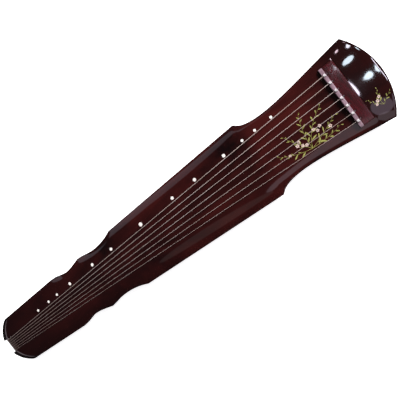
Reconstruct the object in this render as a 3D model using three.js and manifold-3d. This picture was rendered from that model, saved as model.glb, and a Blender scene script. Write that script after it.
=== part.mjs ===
// A seven-string guqin: arched top board over a flat bottom board, with bridge, tail nut,
// tuning pegs, goose feet, inlaid studs and strings wound round the feet.
// Millimetres. +X runs to the head, +Y to the stud side, +Z up. The origin is on the
// ground below the middle of the instrument.
import * as THREE from 'three';
import { mergeVertices, toCreasedNormals } from 'three/addons/utils/BufferGeometryUtils.js';
import Module from 'manifold-3d';

const wasm = await Module();
wasm.setup();

// Whole body
const body_length = 1246;
const head_width = 209;
const shoulder_step = 3.2;
const tail_width = 144.6;
const body_thickness = 53;
const edge_thickness = 31;
const bottom_thickness = 11;
const stand_height = 30;

// Clearances and the overrun of every cut
const seat_gap = 0.3;
const cut_over = 2;

// Plan outline: the two ends
const head_sweep = 33.8;
const tail_sweep = 47.2;
const notch_width = 48;
const notch_depth = 7.2;

// Plan outline: the corners along a side, as shares of the body length
const shoulder_place_share = 0.2639;
const waist_start_share = 0.605;
const cusp_place_share = 0.7069;
const waist_end_share = 0.7952;

// Plan outline: the pull points of the three hollow curves, as [share of the body length,
// share of half the shoulder width], and the half width at the cusp between the two bays
const neck_pull_shares = [[0.1182, 0.918], [0.2356, 0.587]];
const upper_bay_pull_shares = [[0.6401, 0.685], [0.671, 0.699]];
const lower_bay_pull_shares = [[0.7441, 0.678], [0.7535, 0.645]];
const cusp_width_share = 0.793;

// Top surface: height of its middle line and its fall to the sides, as [share of the body
// length, share of the body thickness]
const crown_line_shares = [
  [0, 0.705], [0.016, 0.725], [0.036, 0.797], [0.0568, 0.893], [0.0857, 0.936], [0.197, 0.981],
  [0.289, 1], [0.531, 0.934], [0.7536, 0.84], [0.9767, 0.745], [1, 0.736],
];
const camber_shares = [[0, 0.06], [0.0568, 0.2], [0.2, 0.245], [0.56, 0.225], [1, 0.12]];
const arch_power_share = 2.2;
const edge_roll_power_share = 2.4;

// Width over which the upper edge is rounded, as [share of the body length, share of the body
// thickness]: narrow round the head and the neck, wide from the shoulder on
const edge_roll_shares = [[0, 0.12], [0.205, 0.12], [0.24, 0.15], [0.2639, 0.3], [0.29, 0.32], [1, 0.32]];

// Sound chamber under the top board, with the raised blocks over the sound holes
const chamber_behind_bridge = 30;
const chamber_before_crown = 40;
const chamber_rim = 13;
const roof_thickness = 10;
const block_rise = 7;
const block_margin = 10;
const block_half_width = 24;
const block_ramp_width = 12;

// Sound holes in the bottom board
const dragon_pool_behind_shoulder = 78;
const dragon_pool_length = 230;
const phoenix_pond_before_waist_end = 24;
const phoenix_pond_length = 110;
const sound_hole_width = 26;
const bottom_edge_radius = 2.5;

// Sound posts
const round_post_behind_shoulder = 28;
const round_post_width = 14;
const square_post_before_waist = 27;
const square_post_width = 13;

// Bridge and dew collector, let into a bed across the head
const head_length = 106.8;
const bridge_width = 8.6;
const bridge_overhang = 17.2;
const bridge_height = 14.6;
const bridge_end_drop = 9.2;
const bridge_end_radius = 5;
const bridge_top_radius = 1.6;
const bearing_inset = 0.8;
const collector_width = 27;
const collector_proud = 1.3;
const collector_edge_radius = 0.8;
const inlay_depth = 2.5;

// Tail nut, its support below, and the crown corners beside them
const nut_width = 42;
const nut_length = 27.8;
const nut_crest_inset = 6;
const nut_proud = 1.9;
const nut_fall_radius = 80;
const nut_lip_radius = 4.5;
const support_length = 22;
const support_radius = 4;
const crown_width = 11;
const crown_proud = 0.5;

// Strings
const string_count = 7;
const string_spacing_share = 0.096;
const nut_spacing = 6.1;
const thickest_string = 1.4;
const thinnest_string = 0.75;
const knot_radius = 1.8;
const knot_inset = 4.3;

// Tuning pegs and the silk loops that hang from the strings' knots
const cord_hole_inset = 3.4;
const cord_hole_width = 4.6;
const silk_width = 2.2;
const silk_reach = 16;
const peg_width = 15.6;
const peg_bore = 5;
const peg_floor_gap = 2.8;
const flute_depth = 0.7;
const pool_plate_thickness = 4;
const pool_end_margin = 7.3;
const pool_width = 34;
const pool_corner = 6;
const guard_length = 45;
const guard_foot_length = 34;
const guard_thickness = 10;
const guard_from_pool = 3;
const guard_edge = 1.2;

// Goose feet
const foot_behind_cusp = 8;
const foot_from_cusp_edge = 36.33;
const foot_top_width = 25;
const foot_waist_width = 18;
const foot_base_width = 27;
const foot_flare_height = 6;
const foot_collar_height = 2.6;
const tenon_width = 14;
const tenon_length = 9;
const socket_width = 34;
const turns_on_foot = 2;
const turn_gap = 0.45;
const winding_gap = 0.5;

// Position studs on the far side, at simple fractions of the string length
const stud_fractions = [1 / 8, 1 / 6, 1 / 5, 1 / 4, 1 / 3, 2 / 5, 1 / 2, 3 / 5, 2 / 3, 3 / 4, 4 / 5, 5 / 6, 7 / 8];
const stud_first_offset = 63.3;
const stud_last_offset = 26.9;
const stud_bow = 3.7;
const small_stud = 7;
const middle_stud = 8.5;
const large_stud = 10.5;
const stud_thickness = 1.4;
const stud_proud = 0.15;

// Facets
const hole_sides = 8;
const turned_sides = 20;
const stud_sides = 12;
const tube_sides = 6;
const thin_tube_sides = 5;
const turn_steps = 16;
const crease_angle = 0.6;

// Colours
const lacquer_colour = 0x2a0d0b;
const hardwood_colour = 0x1d0c09;
const underside_colour = 0x200b09;
const pearl_colour = 0xf2e9e2;
const string_colour = 0xe0c9b4;
const silk_colour = 0xd9c7b0;
const raw_wood_colour = 0xb98f5c;

// Levels and places that follow from the sizes above
const head_end = body_length / 2;
const seam_level = stand_height + bottom_thickness;
const edge_level = stand_height + edge_thickness;
const half_shoulder = head_width / 2 - shoulder_step;
const half_tail = tail_width / 2;
const half_cusp = cusp_width_share * half_shoulder;
const foot_offset = half_cusp - foot_from_cusp_edge;
const shoulder_back = shoulder_place_share * body_length;
const waist_start_back = waist_start_share * body_length;
const cusp_back = cusp_place_share * body_length;
const waist_end_back = waist_end_share * body_length;
const tail_corner_back = body_length - tail_sweep;
const crown_inner_corner = tail_corner_back - crown_width;
const chamber_start = head_length + chamber_behind_bridge;
const chamber_end = crown_inner_corner - chamber_before_crown;
const dragon_pool_start = shoulder_back + dragon_pool_behind_shoulder;
const phoenix_pond_start = waist_end_back - phoenix_pond_before_waist_end;
const round_post_place = shoulder_back + round_post_behind_shoulder;
const square_post_place = waist_start_back - square_post_before_waist;
const foot_place = cusp_back + foot_behind_cusp;
const nut_back = body_length - notch_depth;
const nut_front = nut_back - nut_length;
const nut_crest = nut_front + nut_crest_inset;
const bearing_back = head_length - bearing_inset;
const string_length = nut_crest - bearing_back;
const cord_hole_back = head_length - bridge_width - cord_hole_inset;
const collector_back = head_length - bridge_width - collector_width;
const string_spacing = string_spacing_share * head_width;
const string_band = (string_count - 1) * string_spacing;
const bridge_half_length = string_band / 2 + bridge_overhang;
const pool_length = string_band + peg_width + 2 * pool_end_margin;
const guard_place = pool_length / 2 + guard_from_pool + guard_thickness / 2;
const half_notch = notch_width / 2;
const half_nut = nut_width / 2;

// A place given by its distance back from the head end, across and up
function place(back, across, up) {
  return new THREE.Vector3(head_end - back, across, up);
}

function blend(from, to, share) {
  return from + (to - from) * share;
}

// Length read by a smooth curve from a table of [share of the body length, share of the body
// thickness]
function read_shares(table, back) {
  const share = back / body_length;
  const last = table.length - 1;
  let k = 0;
  while (k < last - 1 && share > table[k + 1][0]) k += 1;
  const slope = i => {
    const a = table[Math.max(i - 1, 0)];
    const b = table[Math.min(i + 1, last)];
    return (b[1] - a[1]) / (b[0] - a[0]);
  };
  const [x0, y0] = table[k];
  const [x1, y1] = table[k + 1];
  const run = x1 - x0;
  const t = THREE.MathUtils.clamp((share - x0) / run, 0, 1);
  const rise = y1 - y0;
  const bend = slope(k) * run - rise;
  const unbend = rise - slope(k + 1) * run;
  return (y0 + t * (rise + (1 - t) * (bend * (1 - t) + unbend * t))) * body_thickness;
}

// Half width of the straight taper that joins the shoulder to the tail corner, and
// carries on level with the head's width in front of the shoulder
function taper_half(back) {
  if (back < shoulder_back) {
    return blend(head_width / 2, half_shoulder, Math.max(back - head_sweep, 0) / (shoulder_back - head_sweep));
  }
  return blend(half_shoulder, half_tail, (back - shoulder_back) / (tail_corner_back - shoulder_back));
}

// The side of the outline from the head corner to the tail corner, as [back, half width]
function side_curves() {
  const pull = ([along, half]) => new THREE.Vector2(along * body_length, half * half_shoulder);
  const on_taper = back => new THREE.Vector2(back, taper_half(back));
  const head_corner = new THREE.Vector2(head_sweep, head_width / 2);
  const shoulder = new THREE.Vector2(shoulder_back, half_shoulder);
  const waist_start = on_taper(waist_start_back);
  const cusp = new THREE.Vector2(cusp_back, half_cusp);
  const waist_end = on_taper(waist_end_back);
  const tail_corner = new THREE.Vector2(tail_corner_back, half_tail);
  const hollow = (from, pulls, to) => new THREE.CubicBezierCurve(from, pull(pulls[0]), pull(pulls[1]), to);
  return [
    hollow(head_corner, neck_pull_shares, shoulder),
    new THREE.LineCurve(shoulder, waist_start),
    hollow(waist_start, upper_bay_pull_shares, cusp),
    hollow(cusp, lower_bay_pull_shares, waist_end),
    new THREE.LineCurve(waist_end, tail_corner),
  ];
}

const sides = side_curves();

function half_width(back) {
  const curve = sides.find(c => back <= c.getPoint(1).x) ?? sides[sides.length - 1];
  let low = 0;
  let high = 1;
  for (let i = 0; i < 30; i += 1) {
    const middle = (low + high) / 2;
    if (curve.getPoint(middle).x < back) low = middle;
    else high = middle;
  }
  return curve.getPoint(high).y;
}

// Radii of the two end arcs, which pass through the corners
const head_radius = ((head_width / 2) ** 2 + head_sweep ** 2) / (2 * head_sweep);
const tail_centre = tail_corner_back
  - (half_tail ** 2 - half_notch ** 2 - tail_sweep ** 2) / (2 * tail_sweep);
const tail_radius = Math.hypot(tail_corner_back - tail_centre, half_tail);

// How far an end arc bulges past the chord between two points of half width half
function bulge(radius, half, across) {
  return Math.sqrt(radius ** 2 - across ** 2) - Math.sqrt(radius ** 2 - half ** 2);
}

// Half of the outline as points [back, half width], from the middle of the head to the notch
function half_outline() {
  const points = [];
  const arc_steps = 8;
  for (let i = 0; i < arc_steps; i += 1) {
    const across = (head_width / 2) * (i / arc_steps);
    points.push(new THREE.Vector2(head_sweep - bulge(head_radius, head_width / 2, across), across));
  }
  const curve_steps = [14, 1, 12, 12, 1];
  sides.forEach((curve, i) => points.push(...curve.getPoints(curve_steps[i]).slice(0, -1)));
  for (let i = 0; i <= arc_steps; i += 1) {
    const across = blend(half_tail, half_notch, i / arc_steps);
    points.push(new THREE.Vector2(tail_corner_back + bulge(tail_radius, half_tail, across), across));
  }
  return points;
}

const outline = half_outline();

// Distance in plan from a place on the top to the nearest edge
function edge_distance(back, across) {
  const point = new THREE.Vector3(back, Math.abs(across), 0);
  const near = new THREE.Vector3();
  let least = Infinity;
  for (let i = 1; i < outline.length; i += 1) {
    const a = new THREE.Vector3(outline[i - 1].x, outline[i - 1].y, 0);
    const b = new THREE.Vector3(outline[i].x, outline[i].y, 0);
    new THREE.Line3(a, b).closestPointToPoint(point, true, near);
    least = Math.min(least, near.distanceTo(point));
  }
  return least;
}

// Height of the long arch, before its edges are rounded over
function arch_height(back, across) {
  const out_share = Math.abs(across) / taper_half(back);
  const fall = read_shares(camber_shares, back) * out_share ** arch_power_share;
  return stand_height + read_shares(crown_line_shares, back) - fall;
}

function edge_roll(back) {
  return read_shares(edge_roll_shares, back);
}

// Height of the finished top: the arch, rolled down to an even edge all round
function top_height(back, across) {
  const arch = arch_height(back, across);
  const inward = Math.min(edge_distance(back, across) / edge_roll(back), 1);
  return arch - (arch - edge_level) * (1 - inward) ** edge_roll_power_share;
}

// Manifold solid of a closed geometry, and back again
function solid_of(geometry) {
  const bare = geometry.clone();
  bare.deleteAttribute('normal');
  bare.deleteAttribute('uv');
  const merged = mergeVertices(bare);
  return new wasm.Manifold(new wasm.Mesh({
    numProp: 3,
    vertProperties: new Float32Array(merged.attributes.position.array),
    triVerts: new Uint32Array(merged.index.array),
  }));
}

function geometry_of(solid) {
  const mesh = solid.getMesh();
  const geometry = new THREE.BufferGeometry();
  geometry.setAttribute('position', new THREE.BufferAttribute(new Float32Array(mesh.vertProperties), 3));
  geometry.setIndex(new THREE.BufferAttribute(new Uint32Array(mesh.triVerts), 1));
  return geometry;
}

// Perimeter of a grid of rows by columns, as indices in one turn round it
function perimeter(row_count, column_count) {
  const loop = [];
  const last_row = row_count - 1;
  const last_column = column_count - 1;
  for (let i = last_row; i > 0; i -= 1) loop.push(i * column_count);
  for (let j = 0; j < last_column; j += 1) loop.push(j);
  for (let i = 0; i < last_row; i += 1) loop.push(i * column_count + last_column);
  for (let j = last_column; j > 0; j -= 1) loop.push(last_row * column_count + j);
  return loop;
}

// Closed solid over a grid of plan places: upper and lower give its heights, and lower may
// be one level
function slab(given_rows, upper, lower) {
  const flat = typeof lower === 'number';
  const columns = given_rows[0].length;
  const loop = perimeter(given_rows.length, columns);
  const outline_of = cells => loop.map(k => new THREE.Vector2(-cells[k][0], cells[k][1]));
  const turns_left = THREE.ShapeUtils.area(outline_of(given_rows.flat())) > 0;
  const rows = turns_left ? given_rows : given_rows.map(row => [...row].reverse());
  const cells = rows.flat();
  const top = cells.map(([back, across]) => place(back, across, upper(back, across)));
  const bottom = flat ? loop.map(k => place(...cells[k], lower))
    : cells.map(([back, across]) => place(back, across, lower(back, across)));
  const under = k => top.length + (flat ? loop.indexOf(k) : k);
  const faces = [];
  for (let i = 0; i + 1 < rows.length; i += 1) {
    for (let j = 0; j + 1 < columns; j += 1) {
      const a = i * columns + j;
      const b = a + columns;
      faces.push([a, a + 1, b + 1], [a, b + 1, b]);
      if (!flat) faces.push([under(a), under(b + 1), under(a + 1)], [under(a), under(b), under(b + 1)]);
    }
  }
  loop.forEach((p, n) => {
    const q = loop[(n + 1) % loop.length];
    faces.push([under(p), under(q), q], [under(p), q, p]);
  });
  if (flat) {
    const below = THREE.ShapeUtils.triangulateShape(outline_of(cells), []);
    for (const [a, b, c] of below) faces.push([top.length + c, top.length + b, top.length + a]);
  }
  const geometry = new THREE.BufferGeometry().setFromPoints([...top, ...bottom]);
  geometry.setIndex(faces.flat());
  return geometry;
}

// Box between two places back from the head end, centred across
function box(from_back, to_back, width, from_up, to_up, across = 0) {
  const geometry = new THREE.BoxGeometry(to_back - from_back, width, to_up - from_up);
  geometry.translate(head_end - (from_back + to_back) / 2, across, (from_up + to_up) / 2);
  return geometry;
}

// Upright cylinder between two levels
function rod(width, from_up, to_up, centre, sides_round) {
  const geometry = new THREE.CylinderGeometry(width / 2, width / 2, to_up - from_up, sides_round);
  geometry.rotateX(Math.PI / 2);
  geometry.translate(centre.x, centre.y, (from_up + to_up) / 2);
  return geometry;
}

// Shape in the part's side view, pulled to both sides of the middle by half the width
function side_profile(shape, width, bevel = 0) {
  const geometry = new THREE.ExtrudeGeometry(shape, {
    depth: width - 2 * bevel,
    curveSegments: 5,
    bevelEnabled: bevel > 0,
    bevelSize: bevel,
    bevelOffset: -bevel,
    bevelThickness: bevel,
    bevelSegments: 1,
  });
  geometry.rotateX(Math.PI / 2);
  geometry.translate(0, width / 2 - bevel, 0);
  return geometry;
}

// Places over the rounded edge, as shares of its width
const roll_shares = [0, 0.14, 0.34, 0.62, 1];

// Places across a row: close together over the rounded edge, wider over the arch
function across_places(half, roll) {
  const arch_shares = [0.75, 0.5, 0.25];
  const far = [...roll_shares.map(s => half - s * roll), ...arch_shares.map(s => s * (half - roll))];
  return [...far.map(y => -y), 0, ...far.reverse()];
}

// Even stations along a stretch of the board, both ends included
function stations(from, to, count) {
  return Array.from({ length: count + 1 }, (item, i) => blend(from, to, i / count));
}

// Rows of the board's grid: swept round the head, and round the crown corners at the tail
function board_rows(tail_end) {
  const neck_shares = [0.14, 0.28, 0.42, 0.55, 0.66, 0.76, 0.83, 0.88, 0.92, 0.955, 0.98, 1];
  const tail_fade = tail_end - tail_sweep;
  const roll_end = head_sweep + edge_roll(head_sweep);
  const backs = [
    ...roll_shares.map(share => blend(head_sweep, roll_end, share)),
    ...stations(roll_end, collector_back, 3).slice(1),
    ...neck_shares.map(share => blend(collector_back, shoulder_back, share)),
    ...stations(shoulder_back, waist_start_back, 6).slice(1),
    ...stations(waist_start_back, cusp_back, 8).slice(1),
    ...stations(cusp_back, waist_end_back, 8).slice(1),
    ...stations(waist_end_back, tail_fade, 2).slice(1),
    ...stations(tail_fade, tail_end, 3).slice(1),
  ];
  return backs.map(back => {
    const half = half_width(back);
    const head_share = THREE.MathUtils.clamp((collector_back - back) / (collector_back - roll_end), 0, 1);
    const tail_share = THREE.MathUtils.clamp((back - tail_fade) / (tail_end - tail_fade), 0, 1);
    const sweep = across => {
      if (head_share > 0) return -head_share * bulge(head_radius, half, across);
      return tail_share > 0 ? tail_share * bulge(tail_radius, half, across) : 0;
    };
    return across_places(half, edge_roll(back)).map(across => [back + sweep(across), across]);
  });
}

const board_grid = board_rows(crown_inner_corner - seat_gap);

// One where a block is raised over a sound hole, falling to zero round it
function block_share(back, across, start, length) {
  const reach = (distance, half) => THREE.MathUtils.clamp((half - distance) / block_ramp_width + 1, 0, 1);
  const middle = start + length / 2;
  return reach(Math.abs(back - middle), length / 2 + block_margin) * reach(Math.abs(across), block_half_width);
}

function chamber_ceiling(back, across) {
  const blocks = block_share(back, across, dragon_pool_start, dragon_pool_length)
    + block_share(back, across, phoenix_pond_start, phoenix_pond_length);
  return arch_height(back, across) - roof_thickness - block_rise * blocks;
}

// Grid of the chamber: it keeps a rim inside the outline, and its corners are cut in
function chamber_rows() {
  const corner = chamber_rim;
  const block_marks = (start, length) => [
    start - block_margin - block_ramp_width, start - block_margin,
    start + length + block_margin, start + length + block_margin + block_ramp_width,
  ];
  const marks = [
    ...stations(chamber_start + corner, shoulder_back, 4),
    shoulder_back + chamber_rim,
    ...block_marks(dragon_pool_start, dragon_pool_length),
    ...stations(waist_start_back, cusp_back, 5),
    ...stations(cusp_back, waist_end_back, 3).slice(1),
    ...block_marks(phoenix_pond_start, phoenix_pond_length),
    chamber_end - corner,
  ].filter(back => back > chamber_start && back < chamber_end).sort((a, b) => a - b);
  const backs = [chamber_start, ...marks, chamber_end];
  const column_shares = [-1, -0.75, -0.5, -0.33, -0.16, 0.16, 0.33, 0.5, 0.75, 1];
  return backs.map(back => {
    const least = Math.min(half_width(back - chamber_rim), half_width(back), half_width(back + chamber_rim));
    const end = Math.min(back - chamber_start, chamber_end - back, corner);
    const half = least - chamber_rim - (corner - end);
    return column_shares.map(share => [back, share * half]);
  });
}

// Grid across the head for the bridge and the dew collector
function head_rows(from_back, to_back, row_shares, half_length) {
  const column_shares = [-1, -0.955, -0.85, -0.7, -0.5, -0.25, 0, 0.25, 0.5, 0.7, 0.85, 0.955, 1];
  return row_shares.map(r => column_shares.map(c => [blend(from_back, to_back, r), c * half_length]));
}

function bed_floor(back, across) {
  return top_height(back, across) - inlay_depth;
}

function inlay_seat(back, across) {
  return bed_floor(back, across) + seat_gap;
}

const plain_row_shares = [0, 0.35, 0.7, 1];

function head_bed() {
  const rows = head_rows(collector_back - seat_gap, head_length + seat_gap, plain_row_shares,
    bridge_half_length + seat_gap);
  return slab(rows, (back, across) => top_height(back, across) + cut_over, bed_floor);
}

function string_across(n) {
  return ((string_count + 1) / 2 - n) * string_spacing;
}

function cord_holes(from_up, to_up) {
  const holes = [];
  for (let n = 1; n <= string_count; n += 1) {
    const centre = place(cord_hole_back, string_across(n), 0);
    holes.push(solid_of(rod(cord_hole_width, from_up, to_up, centre, hole_sides)));
  }
  return holes;
}

// Where a stud lies: its place on the arch, turned to the surface there
function stud_frame(n) {
  const fraction = stud_fractions[n];
  const back = bearing_back + fraction * string_length;
  const bow = stud_bow * 4 * fraction * (1 - fraction);
  const across = blend(stud_first_offset, stud_last_offset, (back - bearing_back) / string_length) + bow;
  const step = small_stud / 2;
  const along_slope = (top_height(back - step, across) - top_height(back + step, across)) / (2 * step);
  const across_slope = (top_height(back, across + step) - top_height(back, across - step)) / (2 * step);
  const normal = new THREE.Vector3(-along_slope, -across_slope, 1).normalize();
  const turn = new THREE.Quaternion().setFromUnitVectors(new THREE.Vector3(0, 0, 1), normal);
  return { position: place(back, across, top_height(back, across)), turn };
}

// Studs grow from both ends of the row to the large one in the middle
function stud_width(n) {
  const from_middle = Math.abs(n - (stud_fractions.length - 1) / 2);
  if (from_middle === 0) return large_stud;
  return from_middle <= 3 ? middle_stud : small_stud;
}

function disc(width, from_up, to_up) {
  return rod(width, from_up, to_up, new THREE.Vector3(), stud_sides);
}

function stud_pocket(n) {
  const { position, turn } = stud_frame(n);
  const pocket = disc(stud_width(n) + 2 * seat_gap, -stud_thickness - seat_gap, cut_over);
  return pocket.applyQuaternion(turn).translate(position.x, position.y, position.z);
}

// Slot between the crown corners, open to the tail
function nut_slot(front, from_up, to_up) {
  return box(front - seat_gap, body_length + cut_over, nut_width + 2 * seat_gap, from_up, to_up);
}

function top_board() {
  let board = solid_of(slab(board_grid, top_height, seam_level));
  board = board.subtract(solid_of(slab(chamber_rows(), chamber_ceiling, seam_level - cut_over)));
  board = board.subtract(solid_of(head_bed()));
  board = board.subtract(solid_of(nut_slot(nut_front, seam_level - cut_over, seam_level + body_thickness)));
  for (const hole of cord_holes(seam_level - cut_over, seam_level + body_thickness)) board = board.subtract(hole);
  stud_fractions.forEach((fraction, n) => {
    board = board.subtract(solid_of(stud_pocket(n)));
  });
  return geometry_of(board);
}

// Round-ended slot in plan, for a sound hole
function slot_path(start, length, width) {
  const radius = width / 2;
  const path = new THREE.Path();
  const first = place(start + radius, 0, 0);
  const last = place(start + length - radius, 0, 0);
  path.absarc(first.x, 0, radius, Math.PI / 2, -Math.PI / 2, true);
  path.absarc(last.x, 0, radius, -Math.PI / 2, -Math.PI * 1.5, true);
  return path;
}

// Round outline in plan with a given number of sides
function round_path(path, x, y, width, sides_round) {
  const points = [];
  for (let i = 0; i < sides_round; i += 1) {
    const angle = 2 * Math.PI * i / sides_round;
    points.push(new THREE.Vector2(x + width / 2 * Math.cos(angle), y + width / 2 * Math.sin(angle)));
  }
  return path.setFromPoints([...points, points[0]]);
}

function rounded_rectangle(path, centre, length, width, corner) {
  const x = length / 2 - corner;
  const y = width / 2 - corner;
  path.absarc(centre.x + x, centre.y + y, corner, 0, Math.PI / 2, false);
  path.absarc(centre.x - x, centre.y + y, corner, Math.PI / 2, Math.PI, false);
  path.absarc(centre.x - x, centre.y - y, corner, Math.PI, Math.PI * 1.5, false);
  path.absarc(centre.x + x, centre.y - y, corner, Math.PI * 1.5, Math.PI * 2, false);
  path.closePath();
  return path;
}

// Outline of the bottom board: the top board's, without the places close beside its corners,
// where there is no room for the rounded lower edge
function bottom_outline() {
  const beside = (item, i, list) => i !== 1 && i !== list.length - 2;
  const grid = board_grid.filter(beside).map(row => row.filter(beside));
  const cells = grid.flat();
  return perimeter(grid.length, grid[0].length).map(k => cells[k]);
}

function bottom_board() {
  const loop = bottom_outline();
  const shape = new THREE.Shape(loop.map(([back, across]) => new THREE.Vector2(head_end - back, across)));
  shape.holes.push(slot_path(dragon_pool_start, dragon_pool_length, sound_hole_width));
  shape.holes.push(slot_path(phoenix_pond_start, phoenix_pond_length, sound_hole_width));
  const pool = place(cord_hole_back, 0, 0);
  shape.holes.push(rounded_rectangle(new THREE.Path(), pool, pool_width, pool_length, pool_corner));
  for (const side of [1, -1]) {
    const foot = place(foot_place, side * foot_offset, 0);
    shape.holes.push(round_path(new THREE.Path(), foot.x, foot.y, socket_width + 2 * seat_gap, turned_sides));
  }
  const board = new THREE.ExtrudeGeometry(shape, {
    depth: bottom_thickness,
    curveSegments: 8,
    bevelSize: bottom_edge_radius,
    bevelOffset: -bottom_edge_radius,
    bevelThickness: bottom_edge_radius,
    bevelSegments: 1,
  });
  board.translate(0, 0, stand_height + bottom_edge_radius);
  const above = box(-cut_over, body_length + cut_over, 2 * head_width, seam_level, seam_level + body_thickness);
  const slot = nut_slot(nut_back - support_length, stand_height - cut_over, seam_level + cut_over);
  return geometry_of(solid_of(board).subtract(solid_of(above)).subtract(solid_of(slot)));
}

// Drop of a surface rounded over by a radius, at a distance inward from its edge
function rounded_drop(inward, radius) {
  const reach = THREE.MathUtils.clamp(inward, 0, radius);
  return radius - Math.sqrt(reach * (2 * radius - reach));
}

// Height of the bridge's ridge, which follows the arch and is rounded off at both ends
function ridge_height(across) {
  const middle = arch_height(head_length, 0) + bridge_height;
  const share = Math.abs(across) / bridge_half_length;
  const end_drop = rounded_drop(bridge_half_length - Math.abs(across), bridge_end_radius);
  return middle - bridge_end_drop * share ** 2 - end_drop;
}

function bridge() {
  const front = head_length;
  const rear = head_length - bridge_width + seat_gap / 2;
  const round_share = bridge_top_radius / (front - rear);
  const row_shares = [0, 0.3 * round_share, round_share, 1 - round_share, 1 - 0.3 * round_share, 1];
  const rows = head_rows(rear, front, row_shares, bridge_half_length);
  const upper = (back, across) => (
    ridge_height(across) - rounded_drop(Math.min(front - back, back - rear), bridge_top_radius));
  return slab(rows, upper, inlay_seat);
}

function dew_collector() {
  const front = collector_back + collector_width - seat_gap / 2;
  const edge_share = collector_edge_radius / (front - collector_back);
  const row_shares = [0, edge_share, 0.35, 0.7, 1 - edge_share, 1];
  const rows = head_rows(collector_back, front, row_shares, bridge_half_length);
  const upper = (back, across) => {
    const inward = Math.min(back - collector_back, front - back, bridge_half_length - Math.abs(across));
    return top_height(back, across) + collector_proud - rounded_drop(inward, collector_edge_radius);
  };
  let collector = solid_of(slab(rows, upper, inlay_seat));
  for (const hole of cord_holes(seam_level, seam_level + body_thickness)) collector = collector.subtract(hole);
  return geometry_of(collector);
}

// Upper line of the tail nut in side view, from its crest over the lip to its back face
const nut_crest_level = arch_height(nut_crest, 0) + nut_proud;
const nut_lip_centre = nut_back - nut_lip_radius;
const nut_fall_angle = Math.asin((nut_lip_centre - nut_crest) / (nut_fall_radius - nut_lip_radius));
const nut_lip_level = nut_crest_level - nut_fall_radius
  + (nut_fall_radius - nut_lip_radius) * Math.cos(nut_fall_angle);

// Points over the nut and round its lip, off being the distance kept from the wood
function nut_line(off) {
  const points = [];
  const fall_steps = 3;
  const lip_steps = 4;
  for (let i = 0; i <= fall_steps; i += 1) {
    const angle = nut_fall_angle * (i / fall_steps);
    const radius = nut_fall_radius + off;
    points.push([nut_crest + radius * Math.sin(angle), nut_crest_level - nut_fall_radius + radius * Math.cos(angle)]);
  }
  for (let i = 1; i <= lip_steps; i += 1) {
    const angle = blend(nut_fall_angle, Math.PI / 2, i / lip_steps);
    const radius = nut_lip_radius + off;
    points.push([nut_lip_centre + radius * Math.sin(angle), nut_lip_level + radius * Math.cos(angle)]);
  }
  return points;
}

// Points round the lower edge of the nut's support
function support_line(off) {
  const points = [];
  const steps = 4;
  const radius = support_radius + off;
  for (let i = 0; i <= steps; i += 1) {
    const angle = Math.PI / 2 * (i / steps);
    points.push([
      nut_back - support_radius + radius * Math.cos(angle),
      stand_height + support_radius - radius * Math.sin(angle),
    ]);
  }
  return points;
}

function side_shape(points) {
  return new THREE.Shape(points.map(([back, up]) => new THREE.Vector2(head_end - back, up)));
}

function tail_nut() {
  const front_level = arch_height(nut_front, 0);
  const outline_points = [[nut_front, seam_level], [nut_front, front_level], ...nut_line(0), [nut_back, seam_level]];
  return side_profile(side_shape(outline_points), nut_width);
}

function nut_support() {
  const front = nut_back - support_length;
  const outline_points = [[front, seam_level], [nut_back, seam_level], ...support_line(0), [front, stand_height]];
  return side_profile(side_shape(outline_points), nut_width);
}

// Hardwood corner that wraps the tail between its side and the notch, from top to bottom
function crown_corner(side) {
  const width_shares = [0, 0.16, 0.4, 0.7, 1];
  const rows = width_shares.map(share => {
    const corner = blend(tail_corner_back, crown_inner_corner, share);
    const half = half_width(corner);
    const notch_run = Math.min(share * crown_width / notch_depth, 1);
    const inner_end = blend(half_notch, half_nut + seat_gap, notch_run);
    const places = across_places(half, edge_roll(corner));
    const across_row = [...places.filter(across => across > inner_end).reverse(), inner_end];
    return across_row.map(across => [corner + bulge(tail_radius, half, across), side * across]);
  });
  const upper = (back, across) => {
    const proud = crown_proud * Math.min(edge_distance(back, across) / crown_width, 1);
    return top_height(back, across) + proud;
  };
  return slab(rows, upper, stand_height);
}

// Level of a sound post's top: just under the lower end of the ceiling above it
function post_level(middle, half) {
  return Math.min(chamber_ceiling(middle - half, half), chamber_ceiling(middle + half, half)) - seat_gap;
}

function sound_post_round() {
  const centre = place(round_post_place, 0, 0);
  const level = post_level(round_post_place, round_post_width / 2);
  return rod(round_post_width, seam_level, level, centre, stud_sides);
}

function sound_post_square() {
  const half = square_post_width / 2;
  const level = post_level(square_post_place, half);
  return box(square_post_place - half, square_post_place + half, square_post_width, seam_level, level);
}

function pool_plate() {
  const centre = place(cord_hole_back, 0, 0);
  const width = pool_width - 2 * seat_gap;
  const length = pool_length - 2 * seat_gap;
  const shape = rounded_rectangle(new THREE.Shape(), centre, width, length, pool_corner - seat_gap);
  for (let n = 1; n <= string_count; n += 1) {
    shape.holes.push(round_path(new THREE.Path(), centre.x, string_across(n), cord_hole_width, hole_sides));
  }
  const plate = new THREE.ExtrudeGeometry(shape, {
    depth: pool_plate_thickness,
    curveSegments: 3,
    bevelEnabled: false,
  });
  return plate.translate(0, 0, seam_level - pool_plate_thickness);
}

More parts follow.
